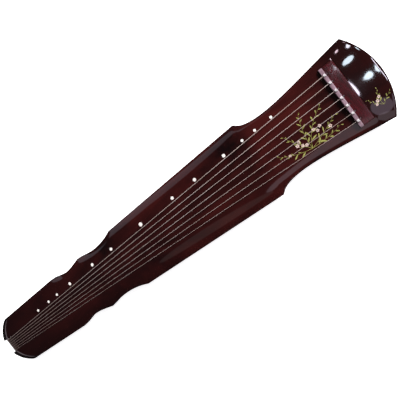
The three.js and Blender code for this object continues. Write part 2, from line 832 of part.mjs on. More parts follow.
// Turned peg with a bore for its silk loop: a head under the plate, a waist and a fluted body
function tuning_peg() {
  const top = seam_level - pool_plate_thickness - seat_gap;
  const height = top - peg_floor_gap;
  const radius = peg_width / 2;
  const bore = peg_bore / 2;
  const profile_shares = [
    [0.62, 0], [0.8, 0.03], [0.93, 0.2], [0.98, 0.36], [0.86, 0.56], [0.6, 0.7],
    [0.62, 0.76], [0.98, 0.84], [1, 0.95], [0.9, 1],
  ];
  const outer = profile_shares.map(([r, h]) => new THREE.Vector2(r * radius, h * height));
  const profile = [new THREE.Vector2(bore, 0), ...outer, new THREE.Vector2(bore, height), new THREE.Vector2(bore, 0)];
  const flutes = 8;
  const body_top_share = 0.62;
  const peg = new THREE.LatheGeometry(profile, 2 * flutes);
  const points = peg.attributes.position;
  for (let i = 0; i < points.count; i += 1) {
    const x = points.getX(i);
    const z = points.getZ(i);
    const reach = Math.hypot(x, z);
    const rise = points.getY(i) / (height * body_top_share);
    if (reach < bore + seat_gap || rise >= 1) continue;
    const cut = flute_depth * Math.sin(Math.PI * rise) * (1 - Math.cos(flutes * Math.atan2(x, z))) / 2;
    points.setXYZ(i, x * (1 - cut / reach), points.getY(i), z * (1 - cut / reach));
  }
  peg.rotateX(Math.PI / 2);
  return peg.translate(0, 0, peg_floor_gap);
}

// Guard beside the pegs, which carries the head: curved in from the board to its foot
function peg_guard() {
  const centre = place(cord_hole_back, 0, 0).x;
  const top = guard_length / 2;
  const foot = guard_foot_length / 2;
  const shape = new THREE.Shape();
  shape.moveTo(centre - foot, 0);
  shape.lineTo(centre + foot, 0);
  shape.bezierCurveTo(centre + foot, stand_height * 0.4, centre + foot * 0.85, stand_height * 0.75,
    centre + top, stand_height);
  shape.lineTo(centre - top, stand_height);
  shape.bezierCurveTo(centre - foot * 0.85, stand_height * 0.75, centre - foot, stand_height * 0.4,
    centre - foot, 0);
  return side_profile(shape, guard_thickness, guard_edge);
}

// Waist of a goose foot, where the strings are wound
const waist_low = foot_flare_height;
const waist_high = stand_height - foot_collar_height;

function goose_foot() {
  const waist = foot_waist_width / 2;
  const base = foot_base_width / 2;
  const flare_share = 0.35;
  const profile = [
    [0, 0], [base, 0], [base, foot_flare_height * flare_share],
    [blend(waist, base, flare_share), foot_flare_height * (1 - flare_share / 2)], [waist, waist_low],
    [waist, waist_high], [foot_top_width / 2, waist_high + foot_collar_height / 2],
    [foot_top_width / 2, stand_height], [0, stand_height],
  ];
  const turned = new THREE.LatheGeometry(profile.map(([r, h]) => new THREE.Vector2(r, h)), turned_sides);
  turned.rotateX(Math.PI / 2);
  const tenon = new THREE.BoxGeometry(tenon_width, tenon_width, tenon_length + cut_over);
  tenon.translate(0, 0, stand_height + (tenon_length - cut_over) / 2);
  return geometry_of(solid_of(turned).add(solid_of(tenon)));
}

// Hardwood bush in the bottom board that takes the foot's tenon
function foot_socket() {
  const shape = round_path(new THREE.Shape(), 0, 0, socket_width, turned_sides);
  const half = tenon_width / 2 + seat_gap;
  const mortise = new THREE.Path([[-1, -1], [-1, 1], [1, 1], [1, -1]]
    .map(([x, y]) => new THREE.Vector2(x * half, y * half)));
  shape.holes.push(mortise);
  return new THREE.ExtrudeGeometry(shape, { depth: bottom_thickness, bevelEnabled: false });
}

// Path through chosen points, read point by point, so that close bends keep their own steps
class Route extends THREE.Curve {
  constructor(points) {
    super();
    this.points = points;
  }

  getUtoTmapping(u) {
    return u;
  }

  getPoint(t) {
    const along = t * (this.points.length - 1);
    const k = Math.min(Math.floor(along), this.points.length - 2);
    return this.points[k].clone().lerp(this.points[k + 1], along - k);
  }

  getTangent(t) {
    const last = this.points.length - 1;
    const k = Math.round(t * last);
    const tangent = new THREE.Vector3();
    if (k > 0) tangent.add(this.points[k].clone().sub(this.points[k - 1]).normalize());
    if (k < last) tangent.add(this.points[k + 1].clone().sub(this.points[k]).normalize());
    return tangent.normalize();
  }
}

function tube(points, width, sides_round) {
  const ring = round_path(new THREE.Shape(), 0, 0, width, sides_round);
  return new THREE.ExtrudeGeometry(ring, { steps: points.length - 1, extrudePath: new Route(points) });
}

function string_width(n) {
  return blend(thickest_string, thinnest_string, (n - 1) / (string_count - 1));
}

// Strings one to four are wound on the far foot, the others on the near one
const far_string_count = 4;

function foot_side(n) {
  return n <= far_string_count ? 1 : -1;
}

// Level at which a string's winding starts, below those wound above it on the same foot
function winding_start(n) {
  const first = n <= far_string_count ? 1 : far_string_count + 1;
  let level = waist_high - winding_gap;
  for (let k = first; k < n; k += 1) {
    level -= turns_on_foot * (string_width(k) + turn_gap) + string_width(k) + winding_gap;
  }
  return level - string_width(n) / 2;
}

// Turns of a string round its foot, from the side where it comes in
function winding(n, from) {
  const side = foot_side(n);
  const centre = place(foot_place, side * foot_offset, 0);
  const radius = foot_waist_width / 2 + seat_gap + string_width(n) / 2;
  const away = from.clone().sub(centre).setZ(0);
  const start_angle = Math.atan2(away.y, away.x) - side * Math.acos(radius / away.length());
  const pitch = string_width(n) + turn_gap;
  const points = [];
  for (let i = 0; i <= turns_on_foot * turn_steps; i += 1) {
    const angle = start_angle - side * 2 * Math.PI * i / turn_steps;
    const up = winding_start(n) - pitch * i / turn_steps;
    points.push(new THREE.Vector3(centre.x + radius * Math.cos(angle), centre.y + radius * Math.sin(angle), up));
  }
  return points;
}

// Least gap between the turns of a winding, measured between its points
function least_turn_gap(points, width) {
  let least = Infinity;
  for (let i = 0; i < points.length; i += 1) {
    for (let j = i + turn_steps / 2; j < points.length; j += 1) {
      least = Math.min(least, points[i].distanceTo(points[j]) - width);
    }
  }
  return least;
}

const turn_gaps = [];

// A string from its knot on the bridge, over the nut, down the notch and round its foot
function string_with_knot(n) {
  const width = string_width(n);
  const off = seat_gap + width / 2;
  const across = string_across(n);
  const nut_across = across * nut_spacing / string_spacing;
  const knot_up = ridge_height(across) + seat_gap + knot_radius;
  const points = [
    place(head_length - knot_inset, across, knot_up - knot_radius / 2),
    place(head_length - knot_inset + knot_radius, across, ridge_height(across) + off),
    place(bearing_back, across, ridge_height(across) + off),
  ];
  for (const [back, up] of nut_line(off)) points.push(place(back, nut_across, up));
  for (const [back, up] of support_line(off)) points.push(place(back, nut_across, up));
  const turns = winding(n, points[points.length - 1]);
  turn_gaps.push(least_turn_gap(turns, width));
  points.push(...turns);
  const knot = new THREE.SphereGeometry(knot_radius, 8, 5);
  knot.translate(points[0].x, across, knot_up);
  return geometry_of(solid_of(tube(points, width, tube_sides)).add(solid_of(knot)));
}

// Silk loop from inside its peg, up through the head and over the back of the bridge
function silk_loop(n) {
  const across = string_across(n);
  const off = seat_gap + silk_width / 2;
  const ridge = ridge_height(across);
  const rear = head_length - bridge_width;
  const bend = bridge_top_radius + off;
  const points = [
    place(cord_hole_back, across, stand_height - silk_reach),
    place(cord_hole_back, across, top_height(cord_hole_back, across) + collector_proud),
  ];
  const edge = ridge - bridge_top_radius;
  points.push(place(rear - off, across, blend(points[1].z, edge, 0.75)));
  for (const share of [0.12, 0.37, 0.62, 0.87]) {
    const angle = share * Math.PI / 2;
    points.push(place(rear + bridge_top_radius - bend * Math.cos(angle), across, edge + bend * Math.sin(angle)));
  }
  points.push(place(head_length - knot_inset - knot_radius - seat_gap, across, ridge + off));
  return tube(points, silk_width, thin_tube_sides);
}

// Finishes
function finish(color, roughness, metalness = 0) {
  return new THREE.MeshStandardMaterial({ color, roughness, metalness });
}

const lacquer = () => finish(lacquer_colour, 0.18);
const underside_lacquer = () => finish(underside_colour, 0.3);
const hardwood = () => finish(hardwood_colour, 0.25);
const pearl = () => finish(pearl_colour, 0.2);
const string_metal = () => finish(string_colour, 0.35, 0.4);
const silk = () => finish(silk_colour, 0.7);
const raw_wood = () => finish(raw_wood_colour, 0.8);

const guqin = new THREE.Group();

function add(name, geometry, material) {
  const mesh = new THREE.Mesh(toCreasedNormals(geometry, crease_angle), material);
  mesh.name = name;
  guqin.add(mesh);
  return mesh;
}

add('top_board', top_board(), lacquer());
add('bottom_board', bottom_board(), underside_lacquer());
add('bridge', bridge(), hardwood());
add('dew_collector', dew_collector(), hardwood());
add('tail_nut', tail_nut(), hardwood());
add('nut_support', nut_support(), hardwood());
add('crown_corner_far', crown_corner(1), hardwood());
add('crown_corner_near', crown_corner(-1), hardwood());
add('sound_post_round', sound_post_round(), raw_wood());
add('sound_post_square', sound_post_square(), raw_wood());
add('peg_pool_plate', pool_plate(), hardwood());

for (const [word, side] of [['far', 1], ['near', -1]]) {
  add('peg_guard_' + word, peg_guard(), hardwood()).position.y = side * guard_place;
  const foot = add('goose_foot_' + word, goose_foot(), hardwood());
  foot.position.copy(place(foot_place, side * foot_offset, 0));
  const socket = add('foot_socket_' + word, foot_socket(), hardwood());
  socket.position.copy(place(foot_place, side * foot_offset, stand_height));
}

for (let n = 1; n <= string_count; n += 1) {
  add('tuning_peg_' + n, tuning_peg(), hardwood()).position.copy(place(cord_hole_back, string_across(n), 0));
  add('string_' + n, string_with_knot(n), string_metal());
  add('silk_loop_' + n, silk_loop(n), silk());
}

stud_fractions.forEach((fraction, n) => {
  const { position, turn } = stud_frame(n);
  const name = 'stud_' + String(n + 1).padStart(2, '0');
  const stud = add(name, disc(stud_width(n), -stud_thickness, stud_proud), pearl());
  stud.position.copy(position);
  stud.quaternion.copy(turn);
});

console.log('least gap between the turns of a wound string, mm:', Math.min(...turn_gaps).toFixed(2));

export default guqin;
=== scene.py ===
"""Looks of a seven-string guqin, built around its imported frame."""
import math
from functools import partial

import bmesh
import bpy
import numpy as np
from mathutils import Matrix, Vector


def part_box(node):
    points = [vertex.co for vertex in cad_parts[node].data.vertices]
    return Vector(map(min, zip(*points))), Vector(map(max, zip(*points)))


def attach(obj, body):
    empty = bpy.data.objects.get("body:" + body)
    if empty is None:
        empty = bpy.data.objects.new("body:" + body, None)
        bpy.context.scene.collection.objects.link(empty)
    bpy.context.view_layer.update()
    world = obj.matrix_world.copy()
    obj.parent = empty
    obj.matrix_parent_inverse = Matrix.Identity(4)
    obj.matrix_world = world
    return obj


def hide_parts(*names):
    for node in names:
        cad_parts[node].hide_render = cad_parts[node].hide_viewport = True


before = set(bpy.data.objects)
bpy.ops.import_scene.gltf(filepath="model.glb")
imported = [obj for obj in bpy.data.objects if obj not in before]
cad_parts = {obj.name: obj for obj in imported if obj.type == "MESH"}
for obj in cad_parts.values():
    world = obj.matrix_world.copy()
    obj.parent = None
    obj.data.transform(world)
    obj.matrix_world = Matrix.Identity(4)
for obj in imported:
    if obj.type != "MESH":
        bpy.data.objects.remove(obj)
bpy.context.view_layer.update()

bl_info = {
    "name": "Guqin looks",
    "version": (1, 0, 0),
    "blender": (4, 5, 0),
    "location": "3D View > Sidebar > Guqin",
    "description": "Lacquered body, fittings, strings and stage of a seven-string guqin",
    "category": "Object",
}

MM = 0.001
BOARD_LOW, BOARD_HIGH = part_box("bottom_board")
TAIL_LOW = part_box("crown_corner_far")[0]

# Clearances and the overrun of every cut
SEAT_GAP = 0.3 * MM
NUT_GAP = 0.04 * MM
CUT_OVER = 2 * MM

# Plan outline as shares of the body length, and of half the shoulder's width
SHOULDER_SHARE = 0.2639
WAIST_START_SHARE = 0.605
CUSP_SHARE = 0.7069
WAIST_END_SHARE = 0.7952
CUSP_WIDTH_SHARE = 0.793
NECK_PULLS = ((0.1182, 0.918), (0.2356, 0.587))
UPPER_BAY_PULLS = ((0.6401, 0.685), (0.671, 0.699))
LOWER_BAY_PULLS = ((0.7441, 0.678), (0.7535, 0.645))

# Height of the middle line and its fall to the sides, as shares of length and thickness. The
# close points before the strip give the forehead the hollow that bends its mirror images.
CROWN_LINE = np.array((
    (0, 0.705), (0.0024, 0.7308), (0.0056, 0.7392), (0.0096, 0.7487), (0.012, 0.7535), (0.01525, 0.7596),
    (0.01926, 0.7685), (0.0249, 0.783), (0.0305, 0.7993), (0.0361, 0.817), (0.0417, 0.8363),
    (0.0465, 0.8539), (0.0498, 0.8662), (0.053, 0.8791), (0.05498, 0.8876), (0.0568, 0.896),
    (0.05714, 0.8973), (0.0626, 0.9079), (0.0682, 0.9166), (0.0762, 0.927), (0.0857, 0.936),
    (0.197, 0.981), (0.289, 1), (0.531, 0.934), (0.7536, 0.84), (0.9767, 0.745), (1, 0.736)))
CAMBER = np.array(((0, 0.06), (0.0568, 0.2), (0.2, 0.245), (0.56, 0.225), (1, 0.12)))
ARCH_POWER = 2.2
# Width of the rounded upper edge: narrow at head, neck and tail, wide from the shoulder on
EDGE_ROLL = np.array((
    (0, 0.06), (0.028, 0.06), (0.06, 0.11), (0.205, 0.12), (0.24, 0.15), (0.2639, 0.3), (0.29, 0.32),
    (0.9, 0.32), (0.955, 0.12), (1, 0.1)))
EDGE_ROLL_POWER = 2.4

# Grid of the boards
SIDE_STEPS = 60
ARC_STEPS = 24
ROW_STEP = 7 * MM
HEAD_ROW_STEP = 2.5 * MM
ROLL_SHARES = np.array((0, 0.035, 0.09, 0.17, 0.28, 0.42, 0.6, 0.8, 1))
ARCH_SHARES = np.array((0.875, 0.75, 0.625, 0.5, 0.375, 0.25, 0.125))
CORNER_CLEARANCE = 1.3
LOWER_EDGE_STEPS = 6

# Sound chamber and sound holes
CHAMBER_BEHIND_BRIDGE = 30 * MM
CHAMBER_BEFORE_CROWN = 40 * MM
CHAMBER_STEP = 9 * MM
CHAMBER_COLUMNS = 25
DRAGON_POOL_BEHIND_SHOULDER = 78 * MM
DRAGON_POOL_LENGTH = 230 * MM
PHOENIX_POND_BEFORE_WAIST_END = 24 * MM
PHOENIX_POND_LENGTH = 110 * MM
BLOCK_RISE = 7 * MM
BLOCK_MARGIN = 10 * MM
BLOCK_HALF_WIDTH = 24 * MM
BLOCK_RAMP = 12 * MM

# Bridge and strip
BEARING_INSET = 0.8 * MM
BRIDGE_OVERHANG = 17.2 * MM
CORD_HOLE_INSET = 3.4 * MM
CORD_HOLE_WIDTH = 4.6 * MM
BED_ROWS = 7
BED_COLUMNS = 48
BRIDGE_COLUMNS = 90
STRIP_RADIUS = 1.3 * MM
# Extra rows, so that the strip bends its mirror images evenly
STRIP_ROWS = np.linspace(0.08, 0.92, 16)

# Tail nut, its support and the crown corners
NUT_CREST_INSET = 6 * MM
NUT_RISE_STEPS = 6
NUT_FALL_RADIUS = 80 * MM
NUT_LIP_RADIUS = 4.5 * MM
NUT_EDGE = 0.4 * MM
SUPPORT_LENGTH = 22 * MM
SUPPORT_RADIUS = 4 * MM
CROWN_ROWS = 34
CROWN_COLUMNS = 10
# Bead near the crown's inner edge: its place and width as shares of the crown's rows, its rise
# as a share of the crown's, and the distances from the rim, as shares of its width, between
# which it fades in
CROWN_BEAD = 0.88
CROWN_BEAD_WIDTH = 0.07
CROWN_BEAD_RISE = 1.2
CROWN_BEAD_FADE = (0.15, 0.45)

# Pegs, with the turned outline as shares of radius and height, and their guards
PEG_BORE = 5 * MM
PEG_PROFILE = ((0.62, 0), (0.8, 0.03), (0.93, 0.2), (0.98, 0.36), (0.86, 0.56), (0.6, 0.7), (0.62, 0.76),
               (0.98, 0.84), (1, 0.95), (0.9, 1))
PEG_SPAN_STEPS = 5
FLUTE_COUNT = 8
FLUTE_TOP_SHARE = 0.62
POOL_CORNER = 6 * MM
GUARD_FOOT_LENGTH = 34 * MM
GUARD_EDGE = 1.2 * MM
GUARD_STEPS = 15
# Pulls of the guard's curve, as shares of its foot's half length and of the stand height
GUARD_PULLS = ((1, 0.4), (0.85, 0.75))

# Goose feet, with the rounding of the base as (beyond the base's radius, height) in mm
SOCKET_WIDTH = 34 * MM
FOOT_TOP_WIDTH = 25 * MM
FOOT_WAIST_WIDTH = 18 * MM
FOOT_BASE_WIDTH = 27 * MM
FOOT_BASE_EDGE = ((-0.6, 0), (-0.15, 0.2), (0, 0.7), (0, 2.1))
FOOT_FLARE = 6 * MM
FOOT_COLLAR = 2.6 * MM
FOOT_TOP_EDGE = 0.3 * MM
# Steps of the flare above the base and of the collar under the board
FOOT_FLARE_SHARES = np.linspace(0.15, 1, 7)
FOOT_COLLAR_SHARES = np.linspace(0.25, 1, 4)
FOOT_BEHIND_CUSP = 8 * MM
FOOT_FROM_CUSP_EDGE = 36.33 * MM

# Studs: places as fractions of the string length, and distances from the middle line
STUD_FRACTIONS = (1/8, 1/6, 1/5, 1/4, 1/3, 2/5, 1/2, 3/5, 2/3, 3/4, 4/5, 5/6, 7/8)
STUD_COUNT = len(STUD_FRACTIONS)
SMALL_STUDS_FROM = 4
STUD_FIRST = 63.3 * MM
STUD_LAST = 26.9 * MM
STUD_BOW = 3.7 * MM
STUD_THICKNESS = 1.4 * MM
STUD_PROUD = 0.15 * MM
# Dome of a stud, as (share of its width from the middle, mm above its highest rim)
STUD_DOME = ((0.5, -0.12), (0.485, -0.03), (0.47, 0), (0.25, 0.06), (0, 0.08))

# Strings, knots and silk cords
STRING_COUNT = 7
FAR_STRING_COUNT = 4
TURN_GAP = 0.45 * MM
WINDING_GAP = 0.5 * MM
TURN_STEPS = 40
STRING_SIDES = 12
KNOT_INSET = 4.3 * MM
KNOT_RADIUS = 2.2 * MM
KNOT_HALF_WIDTH = 3.9 * MM
KNOT_THREAD = 2.1 * MM
KNOT_PITCH = 0.8 * KNOT_THREAD
KNOT_TAPER = 0.55
KNOT_TURNS = 3
KNOT_STEPS = 18
SILK_REACH = 16 * MM
SILK_PLIES = 2
SILK_STEP = 0.5 * MM
SILK_SIDES = 8
# Two plies: how far from the cord's middle they lie, and their radius, as shares of its width
PLY_REACH = 0.25
PLY_RADIUS = 0.27
# How high the cord comes on the bridge's back, and the places of its bend over the edge
SILK_RISE_SHARE = 0.75
SILK_BEND_SHARES = (0.12, 0.37, 0.62, 0.87)

# Angles in degrees past which two faces meet in a crisp edge, or in one that gets a bevel
BOARD_CREASE = 32
CREASE = 40
NUT_BEVEL_CREASE = 50
STUD_CREASE = 50

# Sides of turned pieces and round cutters
TURNED_SIDES = 64
STUD_SIDES = 32
HOLE_SIDES = 32
SOCKET_SIDES = 64

# Stems of the generic sprigs, in mm back from the head and across: start, bend, end
SPRIG_STEMS = (
    ((212, -52), (196, -10), (148, 14)), ((212, -52), (214, -20), (196, 26)),
    ((212, -52), (238, -22), (250, 6)), ((212, -52), (176, -40), (134, -20)),
    ((212, -52), (256, -44), (284, -24)), ((212, -52), (170, -54), (136, -46)))
SMALL_STEMS = (
    ((40, -66), (46, -48), (34, -30)), ((40, -66), (54, -54), (64, -38)), ((40, -66), (28, -56), (16, -50)))
# Sprigs: name, stems, then length, width and spacing of the leaves in mm
SPRIGS = (("painted_sprig", SPRIG_STEMS, 17, 4.2, 8), ("painted_small_sprig", SMALL_STEMS, 9, 2.6, 5))
STEM_SHARE = 0.06
STEM_STEPS = 24
# Radius of a stem at both ends, as shares of its width; the part of it that has no leaves
STEM_TAPER = (0.5, 0.16)
BARE_STEM = 0.16
# Leaves: least and greatest size by chance, size at the tip, and how blunt and how full they are
LEAF_CHANCE = (0.75, 1.2)
LAST_LEAF = 0.45
LEAF_BLUNTNESS = 0.35
LEAF_BELLY = 0.85
# Places of the blossoms, in mm back from the head and across
BLOSSOMS = (
    (226, -34), (236, -28), (229, -22), (218, -38), (181, -26), (172, -20), (187, -19), (262, -36),
    (154, -34), (47, -52), (40, -46), (52, -58))
# Blossoms: petals and how full they are, the heart, and the turns and sizes that chance gives
PETAL_COUNT = 5
PETAL_BELLY = 0.7
HEART_RADIUS = 0.4 * MM
BLOSSOM_TURNS = (0.0, 6.28)
BLOSSOM_SIZES = (0.65, 1.1)
PAINT_REACH = 1 * MM
PAINT_THICKNESS = 0.22 * MM
BLOSSOM_THICKNESS = 1.4 * PAINT_THICKNESS

# Painted shade on the lacquer: how much it is darkened, from the tail (0) to the head (1)
LACQUER_PAINTED_SHADE = ((0.0, 0.92), (0.3, 0.6), (0.55, 0.42), (0.85, 0.1), (0.91, 0.3), (0.945, 0.8), (1.0, 0.72))
# X on the body where painted shade on the strings begins, and where it is darkest
STRING_TAIL_SHADE = (300 * MM, -620 * MM)
# Where strings look like knots: the start and end of the change, from the bridge's face on
KNOT_EDGE = (1 * MM, 2 * MM)
WINDING_PITCH = 0.6 * MM

# Lights: name, place, what it faces, sides in m, watts and colour
LIGHTS = (
    ("head_softbox_far", (1.24, 0.44, 1.9), (0.74, -0.15, 0.07), (0.12, 0.17), 0.85, "e2f2ff"),
    ("head_softbox_near", (1.275, -0.02, 1.9), (0.58, 0.0, 0.07), (0.09, 0.11), 0.5, "e2f2ff"),
    ("head_softbox_long", (1.5, -0.04, 1.9), (0.55, 0.0, 0.07), (0.42, 0.11), 2.6, "f4ecff"),
    ("head_softbox_rim", (1.0, 0.57, 1.9), (0.58, 0.06, 0.07), (0.1, 0.1), 0.45, "f0f0ff"),
    ("head_softbox_side", (1.15, 0.83, 1.9), (0.57, 0.08, 0.07), (0.08, 0.08), 0.25, "fadcea"),
    ("corner_panel", (1.2, -0.66, 1.9), (0.58, -0.06, 0.07), (0.4, 0.4), 0.45, "e6d4ec"),
    ("near_panel", (0.62, -1.0, 1.9), (0.62, -0.1, 0.07), (1.5, 0.5), 1.5, "e6d8e4"),
    ("near_strip", (-0.6, -1.04, 1.9), (-0.3, -0.1, 0.07), (1.1, 0.4), 0.22, "f0dcd8"),
    ("wall_far", (-0.45, 1.42, 1.0), (-0.1, 0, 0.6), (1.7, 1.9), 3.6, "f4f0ff"),
    ("tail_panel", (-3.0, 0.0, 1.3), (-0.6, 0.0, 0.07), (1.2, 0.4), 1.5, "ffe8ec"),
)
# Broad light from over the head and the far side: where it travels, its strength and spread
KEY_TRAVEL = (-0.64, -0.31, -0.7)
KEY_STRENGTH = 4.8
KEY_SPREAD = math.radians(20)
# Dim room: the way that is brightest, and the greys toward and away from it
ROOM_BRIGHT_WAY = (0.8, 0, 0.2)
ROOM_GREYS = ((0.0, 0.02), (0.25, 0.03), (1.0, 0.05))
SENSOR_WIDTH = 36

# Kinds of node that come often, some with a setting that they always have here
MATH = "ShaderNodeMath"
PLUS = (MATH, {"operation": "ADD"})
MINUS = (MATH, {"operation": "SUBTRACT"})
TIMES = (MATH, {"operation": "MULTIPLY"})
OVER = (MATH, {"operation": "DIVIDE"})
SINE = (MATH, {"operation": "SINE"})
COSINE = (MATH, {"operation": "COSINE"})
RANGE = "ShaderNodeMapRange"
RAMP = "ShaderNodeValToRGB"
MIX = ("ShaderNodeMix", {"data_type": "RGBA"})
BUMP = "ShaderNodeBump"
SPLIT = "ShaderNodeSeparateXYZ"
MERGE = "ShaderNodeCombineXYZ"
STORE = ("GeometryNodeStoreNamedAttribute", {"data_type": "FLOAT", "domain": "POINT"})
NAMED = "GeometryNodeInputNamedAttribute"
MOVE = "GeometryNodeSetPosition"
SMOOTH = "GeometryNodeSetShadeSmooth"
PLACE_ON = "GeometryNodeInstanceOnPoints"
CHANCE = ("FunctionNodeRandomValue", {"data_type": "FLOAT"})


def length_property(name, description, default):
    return bpy.props.FloatProperty(
        name=name, description=description, default=default, min=0, unit="LENGTH", precision=4)


def colour_property(name, default):
    return bpy.props.StringProperty(name=name, description="sRGB hex", default=default)


class BodySettings(bpy.types.PropertyGroup):
    body_length: length_property("Body length", "From head to tail", BOARD_HIGH.x - TAIL_LOW.x)
    head_width: length_property("Head width", "Across the head's two corners", 209 * MM)
    shoulder_step: length_property("Shoulder step", "How much narrower a shoulder is than the head", 3.2 * MM)
    tail_width: length_property("Tail width", "Across the tail's two corners", 144.6 * MM)
    thickness: length_property("Thickness", "Both boards at the highest place of the arch", 53 * MM)
    edge_thickness: length_property("Edge thickness", "Both boards at the side", 31 * MM)
    bottom_thickness: length_property("Bottom board", "Thickness of the flat board", 11 * MM)
    stand_height: length_property("Stand height", "Underside above the ground", BOARD_LOW.z)
    head_sweep: length_property("Head sweep", "How far the head's arc bulges", 33.8 * MM)
    tail_sweep: length_property("Tail sweep", "How far the tail's arc bulges", 47.2 * MM)
    notch_width: length_property("Notch width", "Notch in the tail", 45 * MM)
    notch_depth: length_property("Notch depth", "Notch in the tail", 13 * MM)
    bottom_round: length_property("Lower edge", "Rounding of the lower edge", 2.5 * MM)
    roof_thickness: length_property("Roof", "Thickness of the hollowed top board", 10 * MM)
    chamber_rim: length_property("Chamber rim", "Wood left round the chamber", 13 * MM)
    sound_hole_width: length_property("Sound hole width", "Both sound holes", 26 * MM)


class FittingSettings(bpy.types.PropertyGroup):
    head_length: length_property("Head length", "From the head's end to the bridge's face", 106.8 * MM)
    bridge_width: length_property("Bridge width", "Along the body", 8.6 * MM)
    bridge_height: length_property("Bridge height", "Above the board at its middle", 14.6 * MM)
    bridge_end_drop: length_property("Bridge fall", "From its middle to its ends", 9.2 * MM)
    bridge_end_radius: length_property("Bridge end radius", "Rounding of both ends", 5 * MM)
    bridge_top_radius: length_property("Bridge top radius", "Rounding of its upper edges", 1.6 * MM)
    strip_width: length_property("Strip width", "Strip behind the bridge", 27 * MM)
    strip_proud: length_property("Strip height", "Strip above the board", 1.3 * MM)
    inlay_depth: length_property("Inlay depth", "How deep bridge and strip are let in", 2.5 * MM)
    nut_width: length_property("Tail nut width", "Across the body", 42 * MM)
    nut_length: length_property("Tail nut length", "Along the body", 22 * MM)
    nut_proud: length_property("Tail nut crest", "Above the board", 1.9 * MM)
    crown_width: length_property("Crown width", "Dark rim along the tail's arcs", 24 * MM)
    crown_proud: length_property("Crown rise", "Rim above the board", 0.5 * MM)
    stud_small: length_property("Small stud", "Diameter near both ends of the row", 7 * MM)
    stud_middle: length_property("Middle stud", "Diameter next to the middle", 8.5 * MM)
    stud_large: length_property("Large stud", "Diameter of the middle stud", 10.5 * MM)
    peg_width: length_property("Peg width", "Diameter of a tuning peg", 15.6 * MM)
    peg_flute: length_property("Peg flute", "Depth of the flutes", 0.7 * MM)


class StringSettings(bpy.types.PropertyGroup):
    spacing: length_property("Spacing at bridge", "Between two strings", 20.064 * MM)
    nut_spacing: length_property("Spacing at nut", "Between two strings", 6.1 * MM)
    thickest: length_property("Thickest string", "Diameter of string one", 1.4 * MM)
    thinnest: length_property("Thinnest string", "Diameter of string seven", 0.75 * MM)
    silk_width: length_property("Silk cord", "Diameter of the loops", 2.2 * MM)
    silk_lay: length_property("Silk lay", "Length of one twist of the cord", 7 * MM)
    turns_on_foot: bpy.props.IntProperty(
        name="Turns", description="Turns round a goose foot", default=2, min=1)


class ColourSettings(bpy.types.PropertyGroup):
    lacquer_dark: colour_property("Lacquer, dark", "100607")
    lacquer_red: colour_property("Lacquer, red", "4a1816")
    hardwood_dark: colour_property("Hardwood, dark", "1e0d0b")
    hardwood_light: colour_property("Hardwood, light", "4b211a")
    ebony_dark: colour_property("Ebony, dark", "050304")
    ebony_light: colour_property("Ebony, light", "0f0809")
    # Pale colour of the crown's bead: a painted highlight
    ebony_painted_highlight: colour_property("Ebony, rubbed edge", "8d7f84")
    nut_brown: colour_property("Nut wood, brown", "30221d")
    # The bridge's two colours carry a painted highlight: pale pinkish grey in place of dark rosewood
    bridge_dark: colour_property("Bridge, painted highlight, dark", "745b65")
    bridge_light: colour_property("Bridge, painted highlight, light", "a58a95")
    strip_red: colour_property("Strip wood, red", "4a131a")
    raw_wood_dark: colour_property("Raw wood, dark lines", "795938")
    raw_wood: colour_property("Raw wood", "b98f5c")
    pearl: colour_property("Shell", "f6efe9")
    pearl_pink: colour_property("Shell, pink drift", "f4e4e2")
    pearl_green: colour_property("Shell, green drift", "e6f0ea")
    string: colour_property("Strings", "f2e4e0")
    string_worn: colour_property("Strings, worn", "d9c2b6")
    # Painted shade on the strings: toward the tail, and between their turns
    string_dull: colour_property("Strings, painted shade toward the tail", "4c3a36")
    string_groove: colour_property("Strings, painted shade between turns", "937b70")
    knot: colour_property("Knots", "fffafc")
    silk: colour_property("Silk", "68474f")
    silk_dark: colour_property("Silk, dark", "382229")
    leaf: colour_property("Painted leaves", "b0ae66")
    leaf_dark: colour_property("Painted leaves, dark", "80823c")
    blossom: colour_property("Painted blossoms", "f0dcd2")
    blossom_dark: colour_property("Painted blossoms, dark", "d8b3a6")
    floor: colour_property("Floor", "f6f6f6")
    floor_dark: colour_property("Floor, dark", "f1f1f1")


class StageSettings(bpy.types.PropertyGroup):
    camera_place: bpy.props.FloatVectorProperty(
        name="Camera place", description="Where the instrument is seen from", subtype="XYZ", unit="LENGTH",
        default=(0.45448, 0.02089, 1.11712))
    camera_turn: bpy.props.FloatVectorProperty(
        name="Camera turn", description="Turn about X, Y and Z", subtype="EULER",
        default=(math.radians(-11.34), math.radians(13.426), math.radians(-38.465)))
    lens: bpy.props.FloatProperty(
        name="Lens", description="Focal length, mm", default=40.5, subtype="DISTANCE_CAMERA")
    floor_side: length_property("Floor side", "Side of the square floor", 14)


SETTINGS = {
    "guqin_body": BodySettings, "guqin_fittings": FittingSettings, "guqin_strings": StringSettings,
    "guqin_colours": ColourSettings, "guqin_stage": StageSettings,
}


# Shape of the body


def blend(start, end, share):
    return start + (end - start) * share


def read_shares(table, share):
    """Value of a smooth curve through a table of (place share, value)."""
    share = np.asarray(share, float)
    xs, ys = table[:, 0], table[:, 1]
    last = len(xs) - 1
    k = np.clip(np.searchsorted(xs, share) - 1, 0, last - 1)
    before = np.maximum(np.arange(last + 1) - 1, 0)
    after = np.minimum(np.arange(last + 1) + 1, last)
    slopes = (ys[after] - ys[before]) / (xs[after] - xs[before])
    run = xs[k + 1] - xs[k]
    rise = ys[k + 1] - ys[k]
    t = np.clip((share - xs[k]) / run, 0, 1)
    bend = slopes[k] * run - rise
    unbend = rise - slopes[k + 1] * run
    return ys[k] + t * (rise + (1 - t) * (bend * (1 - t) + unbend * t))


def bulge(radius, half, across):
    """How far an arc bulges past the chord between two points of half width half."""
    return np.sqrt(radius ** 2 - across ** 2) - math.sqrt(radius ** 2 - half ** 2)


def rounded_drop(inward, radius):
    """Drop of a surface rounded over by a radius, at a distance inward from its edge."""
    reach = np.clip(inward, 0, radius)
    return radius - np.sqrt(reach * (2 * radius - reach))


